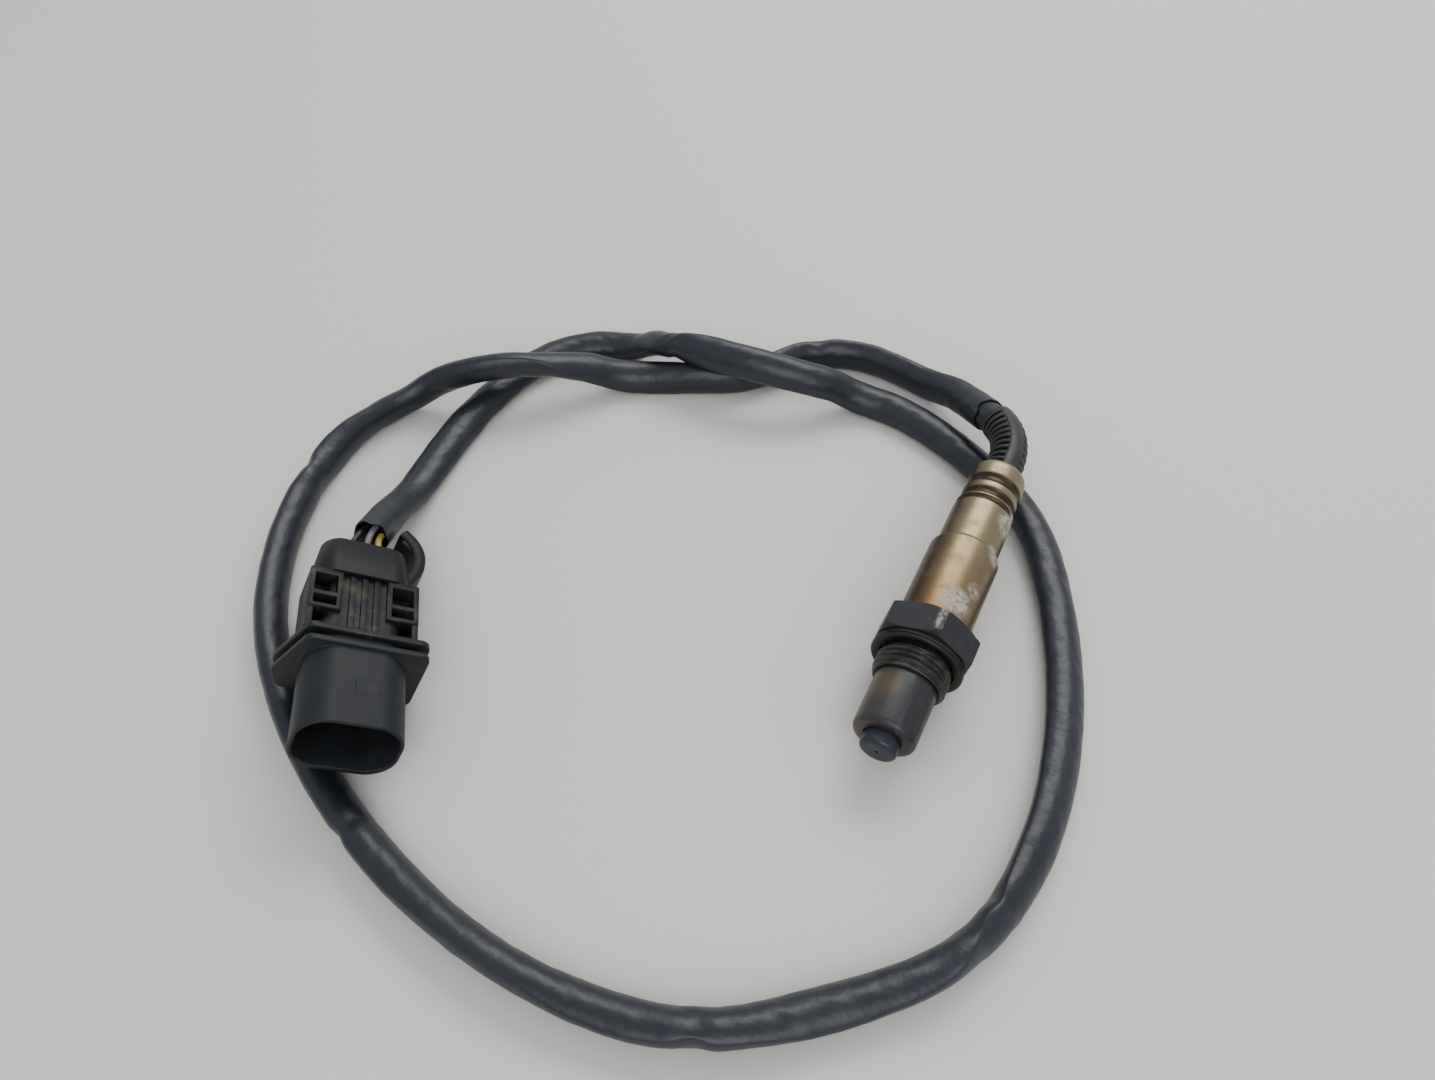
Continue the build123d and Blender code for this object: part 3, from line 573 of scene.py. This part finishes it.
finishes = {
    "hex_steel": blackOxide(),
    "gasket_steel": plainFinish("gasketSteel", (0.035, 0.033, 0.032), 0.42, 0.8),
    "tube_steel": heatedTube(),
    "nub_steel": blueBlackNub(),
    "shell_steel": heatTintedSteel(),
    "boot_rubber": bootRubber(),
    "sleeve_plastic": sleevePlastic(),
    "housing_plastic": mouldedPlastic("housingPlastic", (0.0115, 0.0130, 0.0155), (0.0210, 0.0230, 0.0260)),
    "body_plastic": mouldedPlastic("bodyPlastic", (0.0085, 0.0095, 0.0100), (0.0170, 0.0180, 0.0185),
                                   (0.052, 0.057, 0.031), 0.75),
    "cap_plastic": mouldedPlastic("capPlastic", (0.0055, 0.0063, 0.0078), (0.0105, 0.0115, 0.0135)),
    "lock_plastic": mouldedPlastic("lockPlastic", (0.03, 0.03, 0.03), (0.045, 0.045, 0.045)),
    "element_ceramic": plainFinish("elementCeramic", (0.75, 0.74, 0.70), 0.5),
    "bush_ceramic": plainFinish("bushCeramic", (0.80, 0.78, 0.72), 0.6),
    "talc": plainFinish("pressedTalc", (0.70, 0.68, 0.62), 0.85),
    "spring_steel": plainFinish("springSteel", (0.45, 0.45, 0.46), 0.3, 1.0),
    "contact_metal": plainFinish("contactMetal", (0.62, 0.60, 0.55), 0.25, 1.0),
    "grommet_rubber": plainFinish("grommetRubber", (0.055, 0.028, 0.02), 0.55),
    "mat_rubber": plainFinish("sealMatRubber", (0.20, 0.045, 0.025), 0.5),
    "terminal_brass": plainFinish("tinnedTerminal", (0.62, 0.58, 0.48), 0.28, 1.0),
    "resistor_ceramic": plainFinish("resistorCeramic", (0.55, 0.55, 0.53), 0.5),
    "lead_black": plainFinish("leadBlack", (0.016, 0.016, 0.017), 0.38),
    "lead_white": plainFinish("leadWhite", (0.17, 0.17, 0.16), 0.42, 0.0, 0.25),
    "lead_yellow": plainFinish("leadYellow", (0.62, 0.47, 0.09), 0.42, 0.0, 0.2),
    "lead_grey": plainFinish("leadGrey", (0.075, 0.076, 0.078), 0.42),
    "lead_red": plainFinish("leadRed", (0.10, 0.016, 0.014), 0.42),
}
for part in frame["record"]["subparts"]:
    dress(part["node"], finishes[part["material_slot"]])
print("materials made and put on the nodes")

bpy.ops.mesh.primitive_plane_add(size=studio["floorSize"])
floor = bpy.context.active_object
floor.name = "studioFloor"
floor.data.materials.append(floorFinish(studio["floorColour"], studio["floorRoughness"]))


# Turned pieces of the head
def turned(name, outline, material, node, sides=120, sharpAngle=38.0):
    # a closed half section of stations and radii, turned about the head's axis
    angles = np.linspace(0.0, 2.0 * math.pi, sides, endpoint=False)
    points = [onHead(station, radius, angle) for station, radius in outline for angle in angles]
    return finishPiece(name, points, gridFaces(len(outline), sides, wrapRows=True), material, node=node,
                       sharpAngle=sharpAngle)


def rounded(corners, radius, steps=3):
    # the outline with each corner rounded by a short arc of the radius, or less on short runs
    made = []
    count = len(corners)
    for index in range(count):
        before, here, after = (np.array(corners[(index + shift) % count], float) for shift in (-1, 0, 1))
        into, out = before - here, after - here
        short = min(np.linalg.norm(into), np.linalg.norm(out))
        if short < 1e-6:
            continue
        cut = min(radius, short * 0.45)
        first, last = here + into / np.linalg.norm(into) * cut, here + out / np.linalg.norm(out) * cut
        for step in range(steps + 1):
            share = step / steps
            made.append(tuple((1 - share) ** 2 * first + 2 * share * (1 - share) * here + share ** 2 * last))
    return made


hexHead = {
    "flats": 22.0,
    "height": 7.7,
    "roll": 10.9,
    "sides": 180,
    "chamferStart": 11.15,
    "chamferEnd": 12.8,
    "chamfer": 0.7,
    "threadRadius": 9.0,
    "threadRoot": 8.15,
    "pitch": 1.5,
    "threadStart": -10.2,
    "threadEnd": -16.3,
    "threadStep": 0.125,
    # a tooth's slope and the flat at its root, and the run-out at the two ends
    "toothSlope": 1.25,
    "rootFlat": 0.12,
    "runOut": (1.1, 0.5),
    "boreRadius": 7.55,
    "boreEnd": -8.0,
    # stations and radii of the flange's edge and of the collar down to its bore
    "flange": [(-8.3, 10.45), (-8.2, 10.6), (-7.7, 10.6)],
    "hexStations": (-7.7, -7.62, -7.5, -7.2, -7.0, -6.6, -1.1, -0.7, -0.5, -0.2, -0.08, 0.0),
    "collar": [(0.0, 8.35), (6.8, 8.35), (7.0, 8.15), (7.0, 4.4), (6.3, 4.4), (6.3, 5.1), (-8.0, 5.1)],
}


def hexReach(station, angle):
    # the hexagon's reach at an angle, cut by the chamfer cone near its two faces
    sixth = math.radians(60.0)
    turn = (angle - math.radians(hexHead["roll"]) + sixth / 2.0) % sixth - sixth / 2.0
    flatReach = hexHead["flats"] / 2.0 / math.cos(turn)
    depth = min(-station, station + hexHead["height"])
    start, end = hexHead["chamferStart"], hexHead["chamferEnd"]
    cone = start + depth * (end - start) / hexHead["chamfer"]
    return min(flatReach, cone)


def threadReach(station, angle):
    # a 60 degree thread of one start that runs out towards both ends
    phase = (station / hexHead["pitch"] + angle / (2.0 * math.pi)) % 1.0
    tooth = hexHead["toothSlope"] * (1.0 - abs(2.0 * phase - 1.0)) - hexHead["rootFlat"]
    tooth = min(max(tooth, 0.0), 1.0)
    tipRun, washerRun = hexHead["runOut"]
    ends = min((station - hexHead["threadEnd"]) / tipRun, (hexHead["threadStart"] - station) / washerRun, 1.0)
    depth = hexHead["threadRadius"] - hexHead["threadRoot"]
    return hexHead["threadRoot"] + depth * tooth * max(ends, 0.0)


def makeHexHead():
    sides, bore = hexHead["sides"], hexHead["boreRadius"]
    angles = np.linspace(0.0, 2.0 * math.pi, sides, endpoint=False) + math.radians(hexHead["roll"])
    end, start = hexHead["threadEnd"], hexHead["threadStart"]
    rows = [[(station, bore)] * sides for station in (hexHead["boreEnd"], end + 0.05)]
    for station in np.arange(end, start + 0.01, hexHead["threadStep"]):
        rows.append([(station, threadReach(station, a)) for a in angles])
    rows.append([(hexHead["flange"][0][0], hexHead["threadRoot"])] * sides)
    rows += [[place] * sides for place in hexHead["flange"]]
    for station in hexHead["hexStations"]:
        rows.append([(station, hexReach(station, a)) for a in angles])
    rows += [[place] * sides for place in hexHead["collar"]]
    points = [onHead(station, reach, angle) for row in rows for (station, reach), angle in zip(row, angles)]
    return finishPiece("hexBody", points, gridFaces(len(rows), sides, wrapRows=True), finishes["hex_steel"],
                       node="hex_body", sharpAngle=24.0)


hexBody = makeHexHead()
hexBody.data.materials.append(threadSteel())
axisStation = float(np.dot(headOrigin, headDir))
for polygon in hexBody.data.polygons:
    centre = np.array(polygon.center) * 1000.0
    station = float(np.dot(centre, headDir)) - axisStation
    if hexHead["threadEnd"] - 0.2 < station < hexHead["threadStart"]:
        polygon.material_index = 1
print("hexagon and thread made")

shell = {
    "wall": 0.5,
    "rounding": 0.35,
    "innerRounding": 0.2,
    "sides": 160,
    # past this station the inner line stops short by the lip's thickness
    "lipStart": 52.0,
    "lip": 0.3,
    "line": [(0.0, 8.9), (24.0, 8.9), (24.6, 8.72), (25.1, 8.15), (25.5, 7.78), (38.2, 7.75), (38.8, 7.15),
             (39.3, 7.15), (39.75, 7.6), (40.4, 7.6), (40.85, 7.2), (41.2, 6.72), (41.8, 6.62), (42.6, 6.72),
             (43.1, 7.1), (43.6, 7.22), (44.9, 7.2), (45.4, 6.95), (45.9, 6.68), (46.6, 6.62), (47.3, 6.72),
             (47.9, 7.08), (48.5, 7.22), (51.2, 7.2), (52.1, 7.12), (52.8, 6.85), (53.3, 6.45), (53.6, 5.9)],
}
shellInside = [(station - (shell["lip"] if station > shell["lipStart"] else 0.0), radius - shell["wall"])
               for station, radius in reversed(shell["line"])]
shellOutline = rounded(shell["line"], shell["rounding"]) + rounded(shellInside, shell["innerRounding"], 1)
turned("sensorShell", shellOutline, finishes["shell_steel"], "sensor_shell",
       sides=shell["sides"], sharpAngle=50.0)

outerTube = {
    "rounding": 0.4,
    "sides": 140,
    "line": [(-12.2, 7.5), (-29.9, 7.5), (-30.6, 7.3), (-31.1, 6.75), (-31.3, 6.0), (-31.35, 4.55),
             (-31.0, 4.55), (-30.9, 5.9), (-30.2, 6.9), (-29.6, 7.0), (-12.2, 7.0)],
}
turned("outerTube", rounded(outerTube["line"], outerTube["rounding"]), finishes["tube_steel"],
       "outer_protection_tube", sides=outerTube["sides"])

innerTube = {
    "rounding": 0.3,
    "line": [(-12.2, 6.1), (-28.0, 6.1), (-30.5, 4.45), (-33.9, 4.45), (-34.45, 4.13), (-34.7, 3.35),
             (-34.7, 0.4), (-34.3, 0.4), (-34.2, 3.3), (-33.8, 4.0), (-30.5, 4.0), (-28.0, 5.7),
             (-12.2, 5.7)],
}
turned("innerTube", rounded(innerTube["line"], innerTube["rounding"]), finishes["nub_steel"],
       "inner_protection_tube")

washer = {
    "rounding": 0.15,
    "line": [(-8.32, 9.15), (-8.32, 10.7), (-8.5, 11.15), (-8.85, 11.3), (-9.12, 11.12), (-9.2, 10.85),
             (-9.28, 11.12), (-9.55, 11.3), (-9.9, 11.15), (-10.1, 10.7), (-10.1, 9.15)],
}
turned("crushWasher", rounded(washer["line"], washer["rounding"], 2), finishes["gasket_steel"],
       "sealing_gasket")
print("turned pieces made")


# Tubes swept along lines
def swept(name, line, firstSide, reach, sides, material, sharpAngle=40.0):
    # reach(index, angle) gives the radius round the line in millimetres
    across, tops = carriedFrames(line, firstSide)
    angles = np.linspace(0.0, 2.0 * math.pi, sides, endpoint=False)
    points = []
    for index, centre in enumerate(line):
        for angle in angles:
            points.append(centre + (across[index] * math.cos(angle) + tops[index] * math.sin(angle))
                          * reach(index, angle))
    faces = gridFaces(len(line), sides)
    closeEnds(points, faces, sides, ((0, line[0]), (len(line) - 1, line[-1])))
    return finishPiece(name, points, faces, material, sharpAngle=sharpAngle)


def wave(spot, seed, *lengths):
    # a smooth repeatable wander between about -1 and 1
    total = 0.0
    for index, length in enumerate(lengths):
        total += math.sin(spot * 2.0 * math.pi / length + seed * 1.7 + index * 2.1)
    return total / len(lengths)


def sleeveRings(path, spots):
    # rings of a thin tube pressed flat: a pointed oval that leans over along the way, with pinched knuckles
    tangents = lineTangents(path)
    leans = np.radians(np.interp(spots, *zip(*cable["leans"])))
    kernel = np.array([1.0, 2.0, 3.0, 2.0, 1.0]) / 9.0
    leans = np.convolve(np.pad(leans, 2, "edge"), kernel, "valid")
    turns = np.linspace(0.0, 2.0 * math.pi, cable["sides"], endpoint=False)
    rings = []
    drops = []
    for index, spot in enumerate(spots):
        tangent = tangents[index]
        side = np.array([-tangent[1], tangent[0], 0.0])
        side /= np.linalg.norm(side)
        top = np.cross(tangent, side)
        lean = leans[index]
        wideAxis = side * math.cos(lean) + top * math.sin(lean)
        thinAxis = top * math.cos(lean) - side * math.sin(lean)
        # round where it slips over the boot and where the leads come out
        startShare, endShare = spot / cable["roundStart"], (spots[-1] - spot) / cable["roundEnd"]
        roundness = max(0.0, 1.0 - startShare, 1.0 - endShare) ** 0.7
        flatness = 1.0 - roundness
        wide = cable["wide"] * flatness + cable["roundWide"] * roundness
        thin = cable["thin"] * flatness + cable["roundThin"] * roundness
        pinch = sum(depth * math.exp(-((spot - place) / reach) ** 2)
                    for place, depth, reach in cable["knuckles"])
        shrunk = max(0.0, 1.0 - spot / cable["crinkleLength"])
        ring = []
        for turn in turns:
            cosine, sine = math.cos(turn), math.sin(turn)
            across = wide * cosine * (1.0 - pinch * 0.6)
            over = thin * sine * abs(sine) ** (cable["blunt"] * flatness) * (1.0 + pinch * 1.6 * cosine)
            face = 1.0 if sine > 0.0 else -1.0
            # faces sag a little between the folds and carry shallow creases
            sag = cable["sag"] * flatness * (1.0 + wave(spot, 5.0 + face, 37.0, 61.0)) * cosine ** 4
            crease = cable["crease"] * wave(spot + 6.0 * cosine, 2.0 + 3.0 * face, 8.5, 13.0, 5.2) * sine ** 2
            over += -face * sag * abs(sine) + face * crease
            across += cable["wander"] * wave(spot, 8.0, 11.0, 6.5, 19.0) * cosine
            # crinkled where the sleeve was shrunk over the boot
            ripple = 0.5 + 0.5 * wave(turn * 9.0, spot * 0.9, 13.0, 7.0, 4.1)
            over += face * cable["crinkle"] * shrunk * ripple
            ring.append(wideAxis * across + thinAxis * over)
        ring = np.array(ring)
        hang = path[index][2] + ring[:, 2].min() - cable["sink"]
        lying = 1.0 - min(max((path[index][2] - cable["lyingHeight"]) / cable["freeOver"], 0.0), 1.0)
        drops.append(hang if hang < 0.0 else hang * lying)
        rings.append(path[index] + ring)
    soften = np.hanning(13)
    soften /= soften.sum()
    eased = np.convolve(np.pad(np.array(drops), 6, "edge"), soften, "valid")
    for index, ring in enumerate(rings):
        ring[:, 2] -= eased[index]
        ring[:, 2] = np.maximum(ring[:, 2], 0.01 + 0.02 * np.abs(ring[:, 2] - 0.01))
    return rings, tangents


def raggedMouth(ring, tangent, seed, reach):
    # the ring moved along the line, its edge uneven
    count = len(ring)
    edge = [reach + cable["ragged"] * wave(index * 10.0 / count, seed, 10.0, 3.4, 1.6)
            for index in range(count)]
    return np.array([point + tangent * along for point, along in zip(ring, edge)])


def inset(ring, share):
    # the ring drawn in towards its middle
    middle = ring.mean(axis=0)
    return middle + (ring - middle) * share


def makeCableSleeve():
    rings, tangents = sleeveRings(path, spots)
    first, last = rings[0], rings[-1]
    mouth = raggedMouth(first, tangents[0], 1.0, cable["startReach"])
    tail = raggedMouth(last, tangents[-1], 4.0, cable["endReach"])
    startLining = inset(first, 0.93) + tangents[0] * cable["startLining"]
    endLining = inset(last, 0.91) - tangents[-1] * cable["endLining"]
    rows = [startLining, inset(mouth, 0.935), mouth, *rings, tail, inset(tail, 0.93), endLining]
    points = [point for row in rows for point in row]
    faces = gridFaces(len(rows), cable["sides"])
    closeEnds(points, faces, cable["sides"], [(row, rows[row].mean(axis=0)) for row in (0, len(rows) - 1)])
    return finishPiece("cableSleeve", points, faces, finishes["sleeve_plastic"],
                       node="cable_sleeve", sharpAngle=34.0)


cableSleeve = makeCableSleeve()
print("cable made,", len(cableSleeve.data.polygons), "faces")

# Ribbed boot: its line leaves the shell straight and bends sideways and down
boot = {
    "base": 51.3,
    "straight": 6.3,
    "bendRadius": 24.0,
    "bend": 52.0,
    "roll": 24.0,
    "tail": 5.0,
    "step": 0.125,
    "root": 3.95,
    "ringRadius": 4.32,
    "ringThickness": 0.58,
    "ribPitch": 2.25,
    "firstRib": 4.9,
    "ribs": 10,
    "ribSpread": (0.985, 1.015),
    "ribSeed": 4,
    # spine on the bend's outer side: its reach, its middle, its edge and the slope down, as cosines
    "spine": 5.06,
    "spineTurn": 170.0,
    "spineEdge": 0.36,
    "spineSlope": 0.16,
    # notches between the ribs begin at this angle
    "notch": 0.55,
    "notchFrom": 150.0,
    "flange": 5.36,
    "flangeLength": 3.6,
    "flangeTaper": 0.9,
    "taperFrom": 2.4,
    "plain": 4.15,
}
bendSide = headSide * math.cos(math.radians(boot["roll"])) - headUp * math.sin(math.radians(boot["roll"]))
bootBase = onHead(boot["base"])


def bootPoint(distance):
    arc = math.radians(boot["bend"])
    start = bootBase + headDir * boot["straight"]
    if distance <= boot["straight"]:
        return bootBase + headDir * distance
    turn = min((distance - boot["straight"]) / boot["bendRadius"], arc)
    place = start + headDir * math.sin(turn) * boot["bendRadius"]
    place = place + bendSide * (1 - math.cos(turn)) * boot["bendRadius"]
    rest = distance - boot["straight"] - turn * boot["bendRadius"]
    return place + (headDir * math.cos(turn) + bendSide * math.sin(turn)) * rest


bootLength = boot["straight"] + math.radians(boot["bend"]) * boot["bendRadius"] + boot["tail"]
bootSpots = np.arange(0.0, bootLength + 0.05, boot["step"])
bootSpots[-1] = bootLength
bootLine = np.array([bootPoint(d) for d in bootSpots])


def bootReach(index, angle):
    # the boot's skin under its ribs: flange, plain ends and a spine on the bend's outer side
    distance = bootSpots[index]
    last = boot["firstRib"] + (boot["ribs"] - 1) * boot["ribPitch"]
    reach = boot["root"]
    facing = math.cos(angle - math.radians(boot["spineTurn"]))
    spine = min(1.0, max(0.0, facing - boot["spineEdge"]) / boot["spineSlope"])
    if distance < last + 1.0:
        ripple = 0.5 - 0.5 * math.cos(2.0 * math.pi * (distance - boot["firstRib"]) / boot["ribPitch"])
        outer = min(1.0, max(0.0, math.degrees(angle) - boot["notchFrom"]) / 10.0)
        reach += (boot["spine"] - boot["notch"] * ripple * outer - boot["root"]) * spine
    if distance < boot["flangeLength"]:
        reach = max(reach, boot["flange"] - boot["flangeTaper"] * max(0.0, distance - boot["taperFrom"]))
    if distance > last + 1.4:
        reach = boot["plain"]
    return reach


def ribGroup(sizes, material):
    # node group: rings set at even steps along a line, joined to the skin
    group = bpy.data.node_groups.new("ribsAlongLine", "GeometryNodeTree")
    group.interface.new_socket(name="Line", in_out="INPUT", socket_type="NodeSocketGeometry")
    names = {}
    for label, kind, value in sizes:
        socket = group.interface.new_socket(name=label, in_out="INPUT", socket_type=kind)
        names[label] = (socket.identifier, value)
    group.interface.new_socket(name="Result", in_out="OUTPUT", socket_type="NodeSocketGeometry")

    def step(kind, settings, **wires):
        made = group.nodes.new(kind)
        for key, value in settings.items():
            setattr(made, key, value)
        for key, value in wires.items():
            socket = made.inputs[key.replace("_", " ")]
            if isinstance(value, bpy.types.NodeSocket):
                group.links.new(value, socket)
            else:
                socket.default_value = value
        return made

    given = step("NodeGroupInput", {}).outputs
    curve = step("GeometryNodeMeshToCurve", {}, Mesh=given["Line"])
    stations = step("GeometryNodeCurveToPoints", {"mode": "COUNT"}, Curve=curve.outputs[0],
                    Count=given["Count"])
    circle = step("GeometryNodeCurvePrimitiveCircle", {}, Resolution=72, Radius=given["Ring radius"])
    profile = step("GeometryNodeCurvePrimitiveCircle", {}, Resolution=14, Radius=given["Ring thickness"])
    ring = step("GeometryNodeCurveToMesh", {}, Curve=circle.outputs[0], Profile_Curve=profile.outputs[0])
    spread = step("FunctionNodeRandomValue", {"data_type": "FLOAT"}, Seed=given["Seed"])
    spread.inputs[2].default_value, spread.inputs[3].default_value = boot["ribSpread"]
    placed = step("GeometryNodeInstanceOnPoints", {}, Points=stations.outputs["Points"],
                  Instance=ring.outputs[0], Rotation=stations.outputs["Rotation"], Scale=spread.outputs[1])
    skin = step("GeometryNodeObjectInfo", {}, Object=given["Skin"])
    together = step("GeometryNodeJoinGeometry", {}, Geometry=placed.outputs[0])
    group.links.new(skin.outputs["Geometry"], together.inputs[0])
    real = step("GeometryNodeRealizeInstances", {}, Geometry=together.outputs[0])
    dressed = step("GeometryNodeSetMaterial", {}, Geometry=real.outputs[0], Material=material)
    result = group.nodes.new("NodeGroupOutput")
    group.links.new(dressed.outputs[0], result.inputs[0])
    return group, names


def makeBoot():
    skin = swept("bootSkin", bootLine, bendSide, bootReach, 72, finishes["boot_rubber"],
                 sharpAngle=55.0)
    first = boot["firstRib"]
    ribSpots = np.linspace(first, first + (boot["ribs"] - 1) * boot["ribPitch"], 60)
    steps = [(index, index + 1) for index in range(len(ribSpots) - 1)]
    mesh = bpy.data.meshes.new("corrugatedBoot")
    mesh.from_pydata([tuple(bootPoint(d) / 1000.0) for d in ribSpots], steps, [])
    piece = bpy.data.objects.new("corrugatedBoot", mesh)
    bpy.context.scene.collection.objects.link(piece)
    group, names = ribGroup([("Skin", "NodeSocketObject", skin), ("Count", "NodeSocketInt", boot["ribs"]),
                             ("Ring radius", "NodeSocketFloat", boot["ringRadius"] / 1000.0),
                             ("Ring thickness", "NodeSocketFloat", boot["ringThickness"] / 1000.0),
                             ("Seed", "NodeSocketInt", boot["ribSeed"])], finishes["boot_rubber"])
    ribs = piece.modifiers.new("ribs", "NODES")
    ribs.node_group = group
    for identifier, value in names.values():
        ribs[identifier] = value
    bpy.context.view_layer.update()
    done = bpy.data.meshes.new_from_object(piece.evaluated_get(bpy.context.evaluated_depsgraph_get()))
    piece.modifiers.clear()
    piece.data = done
    for polygon in done.polygons:
        polygon.use_smooth = True
    bpy.data.objects.remove(skin)
    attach(piece, "root")
    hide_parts("corrugated_boot")
    return piece


corrugatedBoot = makeBoot()
print("boot made,", len(corrugatedBoot.data.polygons), "faces")

# Plug: softened edges on the moulded pieces
plug = {
    "place": (-114.0, -81.3, 14.9),
    "heading": -53.0,
    "pitch": 5.0,
    "roll": 29.0,
    "edge": 0.28,
    "bevelAngle": 35.0,
    "creaseAngle": 46.0,
}
heading, pitch, roll = (math.radians(plug[key]) for key in ("heading", "pitch", "roll"))
plugOut = np.array([math.cos(heading) * math.cos(pitch), math.sin(heading) * math.cos(pitch),
                    math.sin(pitch)])
level = np.array([-math.sin(heading), math.cos(heading), 0.0])
plugRight = level * math.cos(roll) - np.cross(plugOut, level) * math.sin(roll)
plugUp = np.cross(plugOut, plugRight)


def onPlug(x, y, z):
    return np.array(plug["place"]) + plugRight * x + plugUp * y + plugOut * z


def reshaped(mesh, change):
    # vertices moved by a rule that works in the plug's own millimetres
    for vertex in mesh.vertices:
        offset = np.array(vertex.co) * 1000.0 - np.array(plug["place"])
        x, y, z = change(float(offset.dot(plugRight)), float(offset.dot(plugUp)), float(offset.dot(plugOut)))
        vertex.co = tuple(onPlug(x, y, z) / 1000.0)


mouth = {
    "front": 21.0,
    "cornerAcross": 4.75,
    "cornerUp": 1.65,
    "innerReach": 5.2,
    "flare": 0.95,
    "lowerFlare": 0.5,
}
fins = {
    "outside": 12.8,
    "thickness": 1.6,
    "top": 3.8,
    "raisedTop": 7.3,
    "boxFront": -11.5,
    "flangeBack": -3.6,
    "splay": 1.1,
}


def flaredMouth(x, y, z):
    # the shroud's inner rim opened out to a thin lip
    across = max(abs(x) - mouth["cornerAcross"], 0.0)
    up = max(abs(y) - mouth["cornerUp"], 0.0)
    reach = math.hypot(across, up)
    if z > mouth["front"] - 0.2 and 1.0 < reach < mouth["innerReach"] + 0.8:
        push = mouth["lowerFlare"] if y < 0.0 and up > across else mouth["flare"]
        x += math.copysign(across / reach * push, x)
        y += math.copysign(up / reach * push, y)
    return x, y, z


def raisedFins(x, y, z):
    # the latch boxes' side walls carried at full height down to the flange
    alongFin = fins["boxFront"] - 0.1 < z < fins["flangeBack"] + 0.1
    onFin = abs(x) > fins["outside"] - fins["thickness"] and alongFin
    if onFin and abs(y - fins["top"]) < 0.1:
        y = fins["raisedTop"]
    if onFin and z > fins["flangeBack"] - 0.1 and abs(abs(x) - fins["outside"]) < 0.15:
        x += math.copysign(fins["splay"], x)
    return x, y, z


def softened(node, name, material, change=None):
    # the node's mesh with flat faces joined, reshaped where asked, and its edges rounded
    mesh = nodes[node].data.copy()
    shape = bmesh.new()
    shape.from_mesh(mesh)
    bmesh.ops.remove_doubles(shape, verts=shape.verts, dist=1e-6)
    bmesh.ops.dissolve_limit(shape, angle_limit=math.radians(0.6), verts=shape.verts, edges=shape.edges)
    shape.to_mesh(mesh)
    shape.free()
    if change:
        reshaped(mesh, change)
    mesh.materials.clear()
    mesh.materials.append(material)
    piece = bpy.data.objects.new(name, mesh)
    bpy.context.scene.collection.objects.link(piece)
    bevel = piece.modifiers.new("edgeRounding", "BEVEL")
    bevel.width = plug["edge"] / 1000.0
    bevel.segments = 2
    bevel.limit_method = "ANGLE"
    bevel.angle_limit = math.radians(plug["bevelAngle"])
    bevel.use_clamp_overlap = True
    bpy.context.view_layer.update()
    done = bpy.data.meshes.new_from_object(piece.evaluated_get(bpy.context.evaluated_depsgraph_get()))
    piece.modifiers.clear()
    piece.data = done
    for polygon in done.polygons:
        polygon.use_smooth = True
    shape = bmesh.new()
    shape.from_mesh(done)
    for edge in shape.edges:
        if len(edge.link_faces) == 2 and edge.calc_face_angle(0.0) > math.radians(plug["creaseAngle"]):
            edge.smooth = False
    shape.to_mesh(done)
    shape.free()
    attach(piece, "root")
    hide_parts(node)
    return piece


housing = softened("connector_housing", "connectorHousing", finishes["housing_plastic"],
                   flaredMouth)
latchBody = softened("latch_body", "latchBody", finishes["body_plastic"], raisedFins)
rearCap = softened("rear_cap", "rearCap", finishes["cap_plastic"])

# The cap's arm as a broad band that reaches round to the sleeve's end
guide = {
    "route": [(9.5, 27.0), (11.2, 29.0), (13.4, 33.6), (13.7, 38.2), (12.4, 42.0), (10.6, 44.2), (9.3, 45.4)],
    "middle": 1.3,
    "halfHeight": 4.0,
    "halfThickness": 1.7,
    "step": 0.5,
    "sides": 32,
    "roundness": 5,
}


def guideReach(index, angle):
    # a band with rounded edges
    power = guide["roundness"]
    high = abs(math.cos(angle) / guide["halfHeight"]) ** power
    thick = abs(math.sin(angle) / guide["halfThickness"]) ** power
    return (high + thick) ** (-1.0 / power)


guideRoute = [onPlug(x, guide["middle"], -z) for x, z in guide["route"]]
guideLine = evenly(readLine("guideLine", guideRoute), guide["step"])[0]
cableGuide = swept("cableGuide", guideLine, plugUp, guideReach, guide["sides"], finishes["cap_plastic"])

# A faint blank field raised on the shroud's top
field = {
    "middle": (1.7, 8.40, 10.5),
    "half": (2.8, 0.29, 1.9),
    # its three levels: lift as a share of the half height, and how far they stand in
    "levels": [(-1.0, 0.0), (0.2, 0.0), (1.0, 0.25)],
}
middle, half = field["middle"], field["half"]
fieldPoints = []
for lift, shrink in field["levels"]:
    for across, forward in ((-1, -1), (1, -1), (1, 1), (-1, 1)):
        fieldPoints.append(onPlug(middle[0] + across * (half[0] - shrink), middle[1] + lift * half[1],
                                  middle[2] + forward * (half[2] - shrink)))
fieldFaces = gridFaces(3, 4) + [(0, 1, 2, 3), (11, 10, 9, 8)]
blankField = finishPiece("blankField", fieldPoints, fieldFaces, finishes["housing_plastic"],
                         smooth=False)
print("plug made")

plugNodes = ["terminal_lock", "terminal_carrier", "rear_seal_mat", "trim_resistor"]
plugNodes += [f"pin_terminal_{number}" for number in range(1, 7)]
plugNodes += [f"plug_lead_{number}" for number in range(1, 6)]
tuple(bootPoint(8.0) / 1000.0)

print("done")
